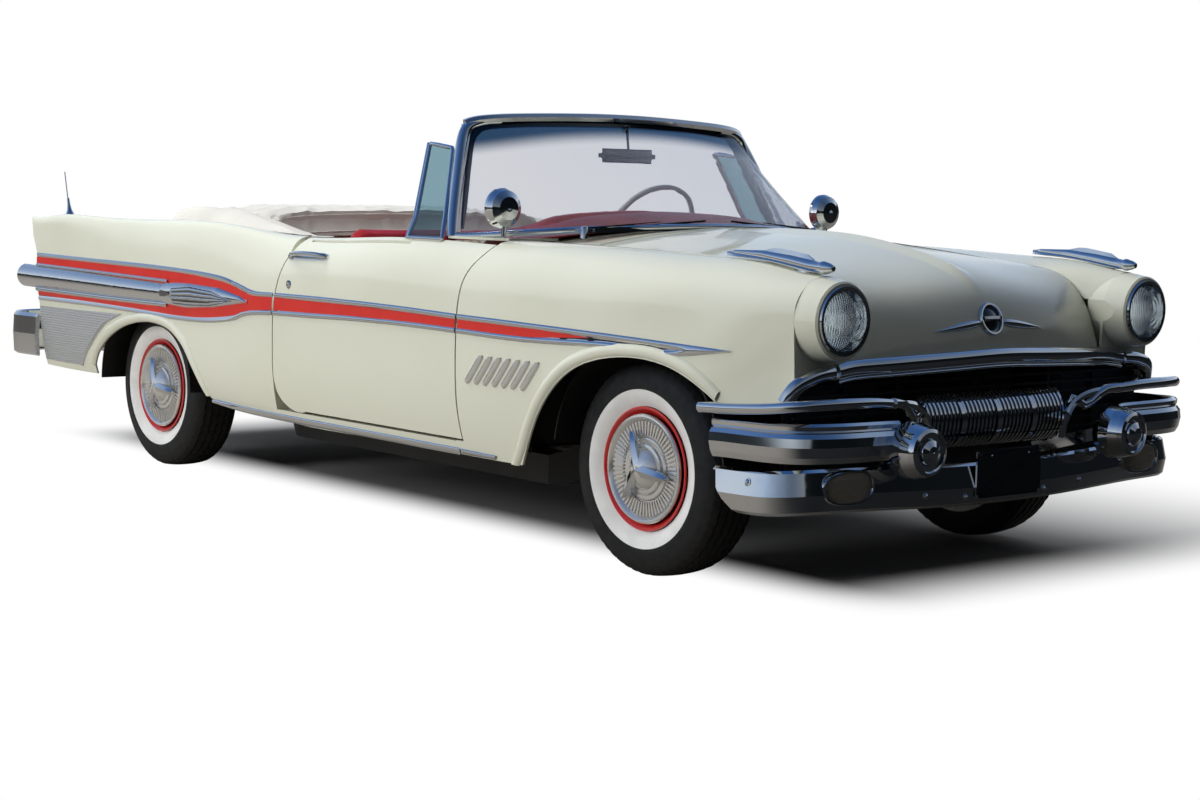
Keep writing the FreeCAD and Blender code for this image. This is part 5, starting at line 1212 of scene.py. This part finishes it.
for vertex in cover.data.vertices:
    along, across_car = (1 - vertex.co.x) / 2, vertex.co.y
    s = COVER_FRONT + (COVER_REAR - COVER_FRONT) * along
    y = across_car * cover_half(along)
    i = max(along, (BOOT_FACE - COVER_FRONT) / (COVER_REAR - COVER_FRONT)) * steps_along
    j = (y + PROBED_HALF) / (2 * PROBED_HALF) * steps_across
    i0, j0 = min(int(i), steps_along - 1), min(int(j), steps_across - 1)
    fi, fj = i - i0, j - j0
    z = ((heights[(i0, j0)] * (1 - fi) + heights[(i0 + 1, j0)] * fi) * (1 - fj)
         + (heights[(i0, j0 + 1)] * (1 - fi) + heights[(i0 + 1, j0 + 1)] * fi) * fj)
    long_fold = noise.noise(Vector((s * 2.2 + 7.0, y * 9.0 + 0.8 * noise.noise(Vector((s * 5, y * 3, 4.0))), 1.5)))
    cross_fold = noise.noise(Vector((s * 8.0 + y * 3.0, y * 3.0 - s * 2.0, 8.5)))
    fine = noise.noise(Vector((s * 17.0 + 3.0, y * 21.0, 2.5)))
    crease = (1 - abs(long_fold) * 2.6) * 0.55 + (1 - abs(cross_fold) * 2.6) * 0.35 + fine * 0.1
    edge = min(along, 1 - along) * 14
    rim = min((1 - abs(across_car)) * 18, edge, 1.0)
    swell_side = math.exp(-((abs(across_car) - 0.82) / 0.22) ** 2)
    z += 0.005 + (0.011 + 0.008 * swell_side) * max(0.0, crease) * (0.3 + 0.7 * rim)
    if s > BOOT_FACE:
        z -= SKIRT_DROP * ((s - BOOT_FACE) / (COVER_FRONT - BOOT_FACE)) ** 0.75
    vertex.co = (FRONT_AXLE_X + s + 0.004 * fine, y, z)
give_wall(cover, 0.002, 0)
tidy_mesh(cover, 60)
cover.data.materials.append(white_cloth)
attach(cover, "root")
hem = round_bar("boot_hem", [Vector((FRONT_AXLE_X + COVER_FRONT, y / 40 * COVER_HALF, 0)) for y in range(-40, 41)],
                0.004)
for vertex in hem.data.vertices:
    j = (vertex.co.y + PROBED_HALF) / (2 * PROBED_HALF) * steps_across
    j0 = max(0, min(int(j), steps_across - 1))
    base_z = heights[(2, j0)] * (1 - (j - j0)) + heights[(2, j0 + 1)] * (j - j0)
    vertex.co.z += base_z + 0.005 - SKIRT_DROP + 0.003
hem.data.materials.append(white_cloth)
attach(hem, "root")
buttons = []
for i in range(1, 12):
    along = i / 12
    for side in (-1, 1):
        s = COVER_FRONT + (COVER_REAR - COVER_FRONT) * along
        y = side * (cover_half(along) - 0.012)
        hit = cover.ray_cast(Vector((FRONT_AXLE_X + s, y, 1.5)), Vector((0, 0, -1)))
        if hit[0]:
            buttons.append(screw_head(hit[1], (0, 0, 1), 0.006, 0.004))
buttons = join_pieces("boot_buttons", buttons)
buttons.data.materials.append(chrome)
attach(buttons, "root")

# Parking lamps: ribbed lenses moulded in smoked plastic, in oval chromed rims that are screwed into
# the lower pan.
def ribbed_moulding(name, scale, depth, colour, roughness, clearness):
    """A lamp lens moulded with level ribs on its back."""
    material, tree = start_material(name)
    coords = add_node(tree, "ShaderNodeTexCoord")
    ribs = add_node(tree, "ShaderNodeTexWave", {"Vector": coords.outputs["Object"], "Scale": scale},
                    bands_direction="Z")
    ridge = add_node(tree, "ShaderNodeBump", {"Height": ribs.outputs["Fac"], "Strength": depth, "Distance": 0.001})
    mould = add_node(tree, "ShaderNodeBsdfPrincipled", {
        "Base Color": linear(colour), "Roughness": roughness, "Transmission Weight": clearness, "IOR": 1.49,
        "Normal": ridge.outputs[0]})
    add_node(tree, "ShaderNodeOutputMaterial", {"Surface": mould.outputs[0]})
    return material


lamp_moulding = ribbed_moulding("smoked ribbed lamp moulding", 26.0, 0.5, "#8C857A", 0.22, 0.25)


def oval_form(name, rows, side):
    """An oval piece lofted from rows of (share of the outline, mm proud of the pan)."""
    half_width, half_height, axis_y, axis_z, sides = 0.104, 0.051, 0.702, 0.366, 72
    rings = []
    for share, proud in rows:
        rings.append([])
        for k in range(sides):
            angle = 2 * math.pi * k / sides
            c, d = math.cos(angle), math.sin(angle)
            y = share * half_width * math.copysign(abs(c) ** (2 / 2.5), c)
            z = share * half_height * math.copysign(abs(d) ** (2 / 2.5), d)
            w = axis_y + y
            bend = 0.0 if w < 0.7 else 0.9 * (w - 0.7) ** 2
            rings[-1].append((FRONT_AXLE_X + 0.7535 - bend + proud / 1000, side * w, axis_z + z))
    return ring_skin(name, rings, 45)


lens_rows = [(0.9, -14), (0.9, 2), (0.87, 6), (0.78, 9), (0.6, 11.5), (0.3, 13), (0.02, 13.5)]
rim_rows = [(0.88, -12), (0.89, 5), (0.92, 9), (0.97, 9.5), (1.01, 6), (1.02, 0), (1.0, -12)]
lenses, rims = [], []
for side in (-1, 1):
    lenses.append(oval_form("lens", lens_rows, side))
    rims.append(oval_form("rim", rim_rows, side))
lenses = join_pieces("parking_lenses", lenses)
lenses.data.materials.append(lamp_moulding)
rims = join_pieces("parking_rims", rims)
rims.data.materials.append(chrome)
for piece, slot in ((lenses, "lamp_glass"), (rims, "chrome")):
    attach(piece, "root")
    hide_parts("parking_lamps")

# Bumper bolts: carriage bolts with domed heads, chromed with the bars, through the lower pan and
# the rear bar.
def on_surface(node, start, towards):
    """Where a ray meets a CAD node, with the face's direction there."""
    hit = NODES[node].ray_cast(Vector(start), Vector(towards))
    return hit[1], hit[2]


bolts = []
for side in (-1, 1):
    for start, towards in (((3.0, side * 0.372, 0.316), (-1, 0, 0)), ((2.3885, side * 1.3, 0.381), (0, -side, 0)),
                           ((3.0, side * 0.19, 0.3), (-1, 0, 0))):
        spot, normal = on_surface("front_bumper", start, towards)
        bolts.append(screw_head(spot, normal, 0.01, 0.007))
    for y in (0.22, 0.5):
        spot, normal = on_surface("rear_bumper", (-3.2, side * y, 0.52), (1, 0, 0))
        bolts.append(screw_head(spot - normal * 0.005, normal, 0.01, 0.004))
bolts = join_pieces("bumper_bolts", bolts)
bolts.data.materials.append(chrome)
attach(bolts, "root")

# Tail lamps: red lenses moulded with ribs on the inside, screwed over the open ends of the side
# pods.
finish_nodes(ribbed_moulding("moulded red lamp lens", 30.0, 0.4, "#B0121A", 0.12, 0.2), "tail_lamps")

# Door handles: a cast and chromed pull on a base plate with a push button, bolted through the door,
# and a lock cover below it.
for side, hand in HANDS:
    door = NODES["door_" + hand]
    parts = []

    def door_skin(s, z, out=0.0):
        """A place on the outer door skin, moved outwards by out metres."""
        hit = door.ray_cast(Vector((FRONT_AXLE_X + s / 1000, side * 1.4, z / 1000)), Vector((0, -side, 0)))
        return Vector((FRONT_AXLE_X + s / 1000, hit[1].y + side * out, z / 1000))

    base_run = [(-1722, 947), (-1760, 946), (-1800, 945), (-1850, 944), (-1900, 943), (-1950, 942), (-1992, 941)]
    rings = []
    for k, (s, z) in enumerate(base_run):
        half = 9 if k in (0, len(base_run) - 1) else 15
        rings.append([door_skin(s, z + dz, out) for dz, out in (
            (half, 0.0), (half * 0.85, 0.005), (0, 0.007), (-half * 0.85, 0.005), (-half, 0.0),
            (-half, -0.004), (half, -0.004))])
    plate = ring_skin("handle_base", rings, 40)
    grip_run = [(-1736, 950, 0.004), (-1744, 953, 0.02), (-1764, 956, 0.032), (-1800, 957, 0.036),
                (-1850, 957, 0.036), (-1900, 955, 0.034), (-1934, 952, 0.028), (-1952, 948, 0.018),
                (-1958, 945, 0.004)]
    grip = round_bar("handle_grip", [door_skin(s, z, out) for s, z, out in grip_run], 0.0085)
    button = screw_head(door_skin(-1975, 943, 0.004), (0, side, 0), 0.011, 0.012)
    lock = screw_head(door_skin(-1969, 834), (0, side, 0), 0.013)
    handle = join_pieces("door_handle_" + hand, [plate, grip, button, lock])
    tidy_mesh(handle, 40)
    handle.data.materials.append(chrome)
    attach(handle, "door_" + hand)

# Rear plate and trunk lock: a blank plate on the lid, under a turned and chromed lock cover on a
# stud through the steel.
blank_plate("rear_plate", FRONT_AXLE_X - 4.2385, -1, 0.606, "trunk_lid")
spot = NODES["trunk_lid"].ray_cast(Vector((-3.2, 0, 0.815)), Vector((1, 0, 0)))
lock = screw_head(spot[1], spot[2], 0.022, 0.012)
lock.name = "trunk_lock"
lock.data.materials.append(chrome)
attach(lock, "trunk_lid")

# Dashboard and steering column: pressed steel in baked red enamel. The steering wheel is moulded in
# pale grey, the engine is sprayed blue-grey and the exhaust pipes are of aluminised steel.
finish_nodes(toned_finish("red dashboard enamel", 8.0, 3.0, ("#971719", "#A61C1D"), (0.0, 1.0),
                          {"Roughness": 0.3, "Coat Weight": 0.6, "Coat Roughness": 0.08})[0],
             "dashboard", "steering_column")
finish_nodes(toned_finish("moulded pearl grey plastic", 30.0, 2.0, ("#A9AAA7", "#BDBEBA"), (0.0, 1.0),
                          {"Roughness": 0.25})[0], "steering_wheel")
finish_nodes(toned_finish("blue-grey engine enamel", 11.0, 7.0, ("#2A2E30", "#5E7F8C"), (0.35, 0.6),
                          {"Roughness": 0.45})[0], "engine")
finish_nodes(bright_finish("aluminised steel pipe", 18.0, 6.0, (0.3, 0.6), "#8E8D89"), "exhausts")

# Grille ribs: the barrel is a die casting with chromed ribs, the troughs between them painted
# black. A broader divider stands at every ninth rib.
RIB_PITCH, DIVIDER_PITCH = 0.019, 0.171
material, tree = start_material("chromed ribs over black troughs")
coords = add_node(tree, "ShaderNodeTexCoord")
place = add_node(tree, "ShaderNodeSeparateXYZ", {0: coords.outputs["Object"]})
rib = None
for pitch, bare in ((RIB_PITCH, 0.27), (DIVIDER_PITCH, 0.45)):
    stripe = add_node(tree, "ShaderNodeMath", {0: place.outputs["Y"], 1: pitch}, operation="DIVIDE")
    stripe = add_node(tree, "ShaderNodeMath", {0: stripe.outputs[0]}, operation="FRACT")
    stripe = add_node(tree, "ShaderNodeMath", {0: stripe.outputs[0], 1: 0.5}, operation="SUBTRACT")
    stripe = add_node(tree, "ShaderNodeMath", {0: stripe.outputs[0]}, operation="ABSOLUTE")
    stripe = add_node(tree, "ShaderNodeMath", {0: stripe.outputs[0], 1: bare}, operation="GREATER_THAN")
    if rib:
        stripe = add_node(tree, "ShaderNodeMath", {0: rib.outputs[0], 1: stripe.outputs[0]}, operation="MAXIMUM")
    rib = stripe
trough = add_node(tree, "ShaderNodeBsdfPrincipled", {"Base Color": linear("#0B0C0E"), "Roughness": 0.4})
plate = add_node(tree, "ShaderNodeBsdfPrincipled", {"Base Color": linear("#DADCDF"), "Metallic": 1.0,
                                                    "Roughness": 0.08})
both = add_node(tree, "ShaderNodeMixShader", {0: rib.outputs[0], 1: trough.outputs[0], 2: plate.outputs[0]})
add_node(tree, "ShaderNodeOutputMaterial", {"Surface": both.outputs[0]})
finish_nodes(material, "grille")

# Barrel cheeks: die-cast chromed gull plates, bolted beside the barrel, that carry the upper bar
# down to it.
for side, hand in HANDS:
    gull = round_bar("barrel_cheek_" + hand, [row_point(*p, side) for p in (
        (690, 350, 452), (704, 352, 500), (714, 354, 548), (722, 362, 582), (728, 384, 572), (736, 410, 556),
        (744, 436, 566), (752, 462, 590), (760, 492, 606), (768, 540, 610))], 0.017, sides=16)
    gull.data.materials.append(chrome)
    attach(gull, "root")

# Splash baffles: flat steel panels in black enamel, screwed to the inner fenders, that close the
# nose beside the radiator.
for side, hand in HANDS:
    corners = [(440, 335), (720, 335), (822, 395), (846, 520), (846, 640), (690, 700), (440, 715)]
    baffle = ring_skin("splash_baffle_" + hand, [[row_point(s, w, z, side) for w, z in corners] for s in (612, 615)],
                       30)
    baffle.data.materials.append(black_enamel)
    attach(baffle, "root")

# Visor and upper bar caps: broad rounded chrome pressings, the visor's over the hood's lip moulding; the
# middle visor cap is a tall upper band over a thin lower bead.
def oval_bar(name, path, depth, height):
    """A bar along level points, oval in section, its ends closed."""
    sides = 20
    rings = []
    for i, spot in enumerate(path):
        along = path[min(i + 1, len(path) - 1)] - path[max(i - 1, 0)]
        out = Vector((along.y, -along.x, 0)).normalized()
        rise = along.normalized().cross(out)
        turns = [2 * math.pi * k / sides for k in range(sides)]
        rings.append([spot + out * depth * math.cos(turn) + rise * height * math.sin(turn) for turn in turns])
    bar = ring_skin(name, rings, 40)
    bar.data.materials.append(chrome)
    return bar


lip_run = [(668, 828, 664), (672, 764, 684), (668, 699, 690), (670, 600, 700), (696, 439, 707), (716, 212, 715),
           (726, 0, 721)]
middle = [row_point(*p, -1) for p in lip_run[2:]]
middle = middle + [Vector((p.x, -p.y, p.z)) for p in reversed(middle[:-1])]
middle[0].y, middle[-1].y = -0.681, 0.681
middle = smooth_path(middle, 60)
cap = oval_bar("visor_cap_middle", [p + Vector((0.002, 0, 0.008)) for p in middle], 0.018, 0.025)
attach(cap, "hood")
bead = oval_bar("visor_bead_middle", [p + Vector((0.006, 0, -0.022)) for p in middle], 0.009, 0.006)
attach(bead, "hood")
for side, hand in HANDS:
    run = [row_point(*p, side) for p in ((640, 866, 606), (656, 852, 640), *lip_run[:3])]
    cap = oval_bar("visor_cap_" + hand, [p + Vector((0.002, 0, 0.006)) for p in smooth_path(run, 24)],
                   0.018, 0.024)
    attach(cap, "root")
    run = [row_point(*p, side) for p in ((360, 938, 580), (500, 942, 588), (640, 938, 600), (738, 902, 613),
                                         (774, 800, 617), (777, 652, 615), (762, 530, 606))]
    cap = oval_bar("upper_bar_cap_" + hand, smooth_path(run, 50), 0.016, 0.017)
    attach(cap, "root")

# Hood ridge: the crease pressed along the middle of the hood's steel, from the cowl to the nose, in
# body colour.
ridge = flat_grid("hood_ridge", 90, 16)
for vertex in ridge.data.vertices:
    along, v = (vertex.co.x + 1) / 2, vertex.co.y
    half = 0.055 + 0.055 * (1 - along)
    s = -470 + along * 1110
    hit = NODES["hood"].ray_cast(Vector((FRONT_AXLE_X + s / 1000, v * half, 1.5)), Vector((0, 0, -1)))
    fade_out = min(1.0, 5 * along, 8 * (1 - along) + 0.12)
    vertex.co = (FRONT_AXLE_X + s / 1000, v * half,
                 (hit[1].z if hit[0] else 0.9) - 0.0012 + 0.0125 * fade_out * (1 - abs(v)) ** 1.15)
give_wall(ridge, 0.004)
tidy_mesh(ridge, 12)
ridge.data.materials.append(ivory)
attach(ridge, "hood")

# Side pod noses: a cast chromed leaf over each pod's front end, with a finned recess, and thin
# flanges along the pod.
LEAF_TOP = [(-2930, 788), (-2915, 798), (-2858, 802), (-2735, 805), (-2495, 798), (-2322, 773), (-2256, 752)]
LEAF_LOW = [(-2930, 718), (-2915, 708), (-2889, 704), (-2734, 699), (-2524, 713), (-2350, 735), (-2256, 751)]
RECESS_TOP = [(-2838, 777), (-2704, 789), (-2525, 780), (-2366, 750)]
RECESS_LOW = [(-2838, 716), (-2704, 714), (-2554, 720), (-2366, 748)]
POD_RADIUS = [(-2930, 47), (-2500, 34), (-2219, 14)]


def along_line(line, s):
    """The second value of a line of pairs at a place along it."""
    for (s0, z0), (s1, z1) in zip(line, line[1:]):
        if s <= s1:
            return z0 + (z1 - z0) * max(0.0, (s - s0) / (s1 - s0))
    return line[-1][1]


POD_SIDE_MM = 934
WIDEST_MM = 968.8
for side, hand in HANDS:
    leaf = flat_grid("pod_leaf_" + hand, 150, 70)
    sunk = {}
    for vertex in leaf.data.vertices:
        s, v = -2930 + (vertex.co.x + 1) / 2 * 674, vertex.co.y
        high, low = along_line(LEAF_TOP, s), along_line(LEAF_LOW, s)
        z = (high + low) / 2 + v * (high - low) / 2
        round_off = math.sqrt(max(0.0, 1 - v * v))
        y = POD_SIDE_MM + (0.65 * along_line(POD_RADIUS, s) + 3.0) * round_off ** 0.8
        rise = 2.8 * round_off ** 0.5
        sunk[vertex.index] = False
        if -2838 < s < -2366:
            top, foot = along_line(RECESS_TOP, s), along_line(RECESS_LOW, s)
            share = (z - foot) / max(top - foot, 1.0)
            if 0.0 < share < 1.0:
                ridge = 0.5 - 0.5 * math.cos(share * 8 * math.pi)
                rise = 2.4 * ridge ** 0.7 - 1.2
                sunk[vertex.index] = ridge < 0.6
        vertex.co = (FRONT_AXLE_X + s / 1000, side * min(y + rise, WIDEST_MM) / 1000, z / 1000)
    leaf.data.materials.append(chrome)
    leaf.data.materials.append(dark_glaze)
    for face in leaf.data.polygons:
        face.material_index = 1 if all(sunk[i] for i in face.vertices) else 0
    if leaf.data.polygons[5000].normal.y * side < 0:
        leaf.data.flip_normals()
    give_wall(leaf, 0.01)
    tidy_mesh(leaf, 35)
    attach(leaf, "root")
    for name, upper, lower in (
            ("pod_flange_top_", (811, 820, 829), (797, 806, 814)),
            ("pod_flange_low_", (716, 716, 722), (695, 695, 700))):
        upper, lower = (list(zip((-2905, -3487, -4150), levels)) for levels in (upper, lower))
        flange = lay_strip(name + hand, "quarter_" + hand, "root", side, upper, lower,
                           lambda s, z, a, b: 4.0 + 7.0 * arched(a, b, 0.6), 60, 8)
        flange.data.materials.append(chrome)

# Wheel arches: a broad lip rolled in the panel's steel round each opening, front and rear, in body
# colour.
ARCH_EDGE = [(-3628, 392), (-3555, 471), (-3432, 545), (-3276, 598), (-3097, 622), (-2923, 607), (-2796, 546),
             (-2712, 449), (-2640, 345)]
ARCH_OUTER = [(-3668, 420), (-3584, 506), (-3452, 584), (-3284, 637), (-3096, 661), (-2906, 646), (-2768, 580),
              (-2676, 470), (-2602, 352)]
FRONT_EDGE = [(-556, 296), (-508, 357), (-431, 481), (-354, 572), (-252, 646), (-103, 694), (89, 705), (231, 678),
              (322, 637), (384, 595)]
FRONT_OUTER = [(-600, 300), (-550, 368), (-468, 500), (-386, 600), (-270, 684), (-108, 735), (96, 746), (250, 718),
               (346, 672), (402, 630)]
for side, hand in HANDS:
    for name, panel, outer, edge in (("arch_lip_rear_", "quarter_", ARCH_OUTER, ARCH_EDGE),
                                     ("arch_lip_front_", "fender_", FRONT_OUTER, FRONT_EDGE)):
        lip = lay_strip(name + hand, panel + hand, "root", side, outer, edge,
                        lambda s, z, d0, d1: 11.0 * arched(d0, d1, 0.6), 96, 10)
        lip.data.materials.append(ivory)

# Windshield rubber and pillar covers: a black gasket inside the frame, filled out at its upper
# corners, and polished stainless covers over both pillars.
edge = [(-1085, 776, 1075), (-1122, 736, 1160), (-1166, 690, 1290), (-1195, 655, 1380), (-1201, 628, 1415),
        (-1193, 590, 1436), (-1171, 450, 1449), (-1156, 240, 1457), (-1150, 0, 1461)]
run = [row_point(*p, -1) for p in edge]
run = run + [Vector((p.x, -p.y, p.z)) for p in reversed(run[:-1])]
gasket = round_bar("windshield_gasket", smooth_path(run, 120), 0.013, sides=16)
gasket.data.materials.append(rubber)
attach(gasket, "root")
for side, hand in HANDS:
    run = [row_point(*p, side) for p in (
        (-1068, 826, 1040), (-1092, 806, 1100), (-1130, 768, 1200), (-1166, 728, 1310), (-1196, 692, 1395),
        (-1202, 664, 1432), (-1196, 610, 1452), (-1184, 540, 1460))]
    cover = round_bar("pillar_cover_" + hand, smooth_path(run, 40), 0.021, sides=20)
    cover.data.materials.append(chrome)
    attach(cover, "root")

# Antenna foot: a turned and chromed cone under the mast, screwed down on a rubber washer on the
# right rear fender.
axis = (row_point(-3980, 880, 1246, -1) - row_point(-3928, 880, 1040, -1)).normalized()
foot = spin_section("antenna_foot", [(0.0, -0.02), (0.021, -0.02), (0.021, 0.004), (0.0185, 0.012), (0.011, 0.03),
                    (0.007, 0.055), (0.0055, 0.085), (0.0, 0.088)], 32, (0, 0, 0), "Z")
foot.data.transform(Matrix.Translation(row_point(-3926, 880, 1046, -1)) @
                    axis.to_track_quat("Z", "Y").to_matrix().to_4x4())
foot.data.materials.append(chrome)
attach(foot, "root")

# Boot arms: the cover's ends, cut from the same coated cotton and laid forward beside the rear seat
# over the body's edge. They fall towards the door from a third of their length on.
FALL_FROM = 0.35
for side, hand in HANDS:
    arm = flat_grid("boot_arm_" + hand, 90, 26)
    for vertex in arm.data.vertices:
        along, v = (vertex.co.x + 1) / 2, vertex.co.y
        s = -3150 + along * 1000
        inner, outer = 640 - 20 * along, 792 + 22 * along
        w = (inner + outer) / 2 + v * (outer - inner) / 2
        crown = 1103 + 8 * math.sin(min(along, FALL_FROM) * 9)
        if along > FALL_FROM:
            crown -= 92 * ((along - FALL_FROM) / (1 - FALL_FROM)) ** 1.4
        fold = noise.noise(Vector((s * 0.004, w * 0.022, 3.0 + side)))
        z = crown + 9 * fold - 58 * abs(v) ** 2.4
        foot_of = None
        for node in ("quarter_" + hand, "top_boot", "rear_deck"):
            hit = NODES[node].ray_cast(Vector((FRONT_AXLE_X + s / 1000, side * w / 1000, 1.5)), Vector((0, 0, -1)),
                                       distance=0.62)
            if hit[0]:
                foot_of = max(foot_of or 0.0, hit[1].z)
        if foot_of:
            z = max(z, foot_of * 1000 + 3.5)
        vertex.co = (FRONT_AXLE_X + s / 1000, side * w / 1000, z / 1000)
    give_wall(arm, 0.002, 0)
    tidy_mesh(arm, 60)
    arm.data.materials.append(white_cloth)
    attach(arm, "root")

# Tail closures: walls of pressed steel in body colour, spot-welded inside the open fender tails
# beside the trunk.
TAIL_END = [(1070, -4262), (1013, -4236), (954, -4215), (877, -4164), (832, -4154), (760, -4142), (640, -4127),
            (480, -4124)]
for side, hand in HANDS:
    rows = []
    for step in range(60):
        z = 484 + step * 9.6
        s = next(s0 + (s1 - s0) * (z - z0) / (z1 - z0) for (z0, s0), (z1, s1) in
                 zip(TAIL_END[::-1], TAIL_END[-2::-1]) if z0 <= z <= z1)
        start = Vector((FRONT_AXLE_X + s / 1000, side * 1.4, z / 1000))
        skin = NODES["quarter_" + hand].ray_cast(start, Vector((0, -side, 0)), distance=0.9)
        if not skin[0]:
            continue
        outer = abs(skin[1].y) - 0.002
        inner = 0.664
        for name in ("trunk_lid", "tail_panel", "quarter_" + hand):
            from_skin = Vector((start.x, side * (outer - 0.012), start.z))
            met = NODES[name].ray_cast(from_skin, Vector((0, -side, 0)), distance=0.5)
            if met[0]:
                inner = max(inner, abs(met[1].y) + 0.006)
        if outer - inner > 0.008:
            rows.append((start.x, inner, outer, start.z))
    closure = ring_skin("tail_closure_" + hand, [
        [(x, side * inner, z), (x, side * outer, z), (x + 0.003, side * outer, z), (x + 0.003, side * inner, z)]
        for x, inner, outer, z in rows], 30)
    closure.data.materials.append(ivory)
    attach(closure, "root")
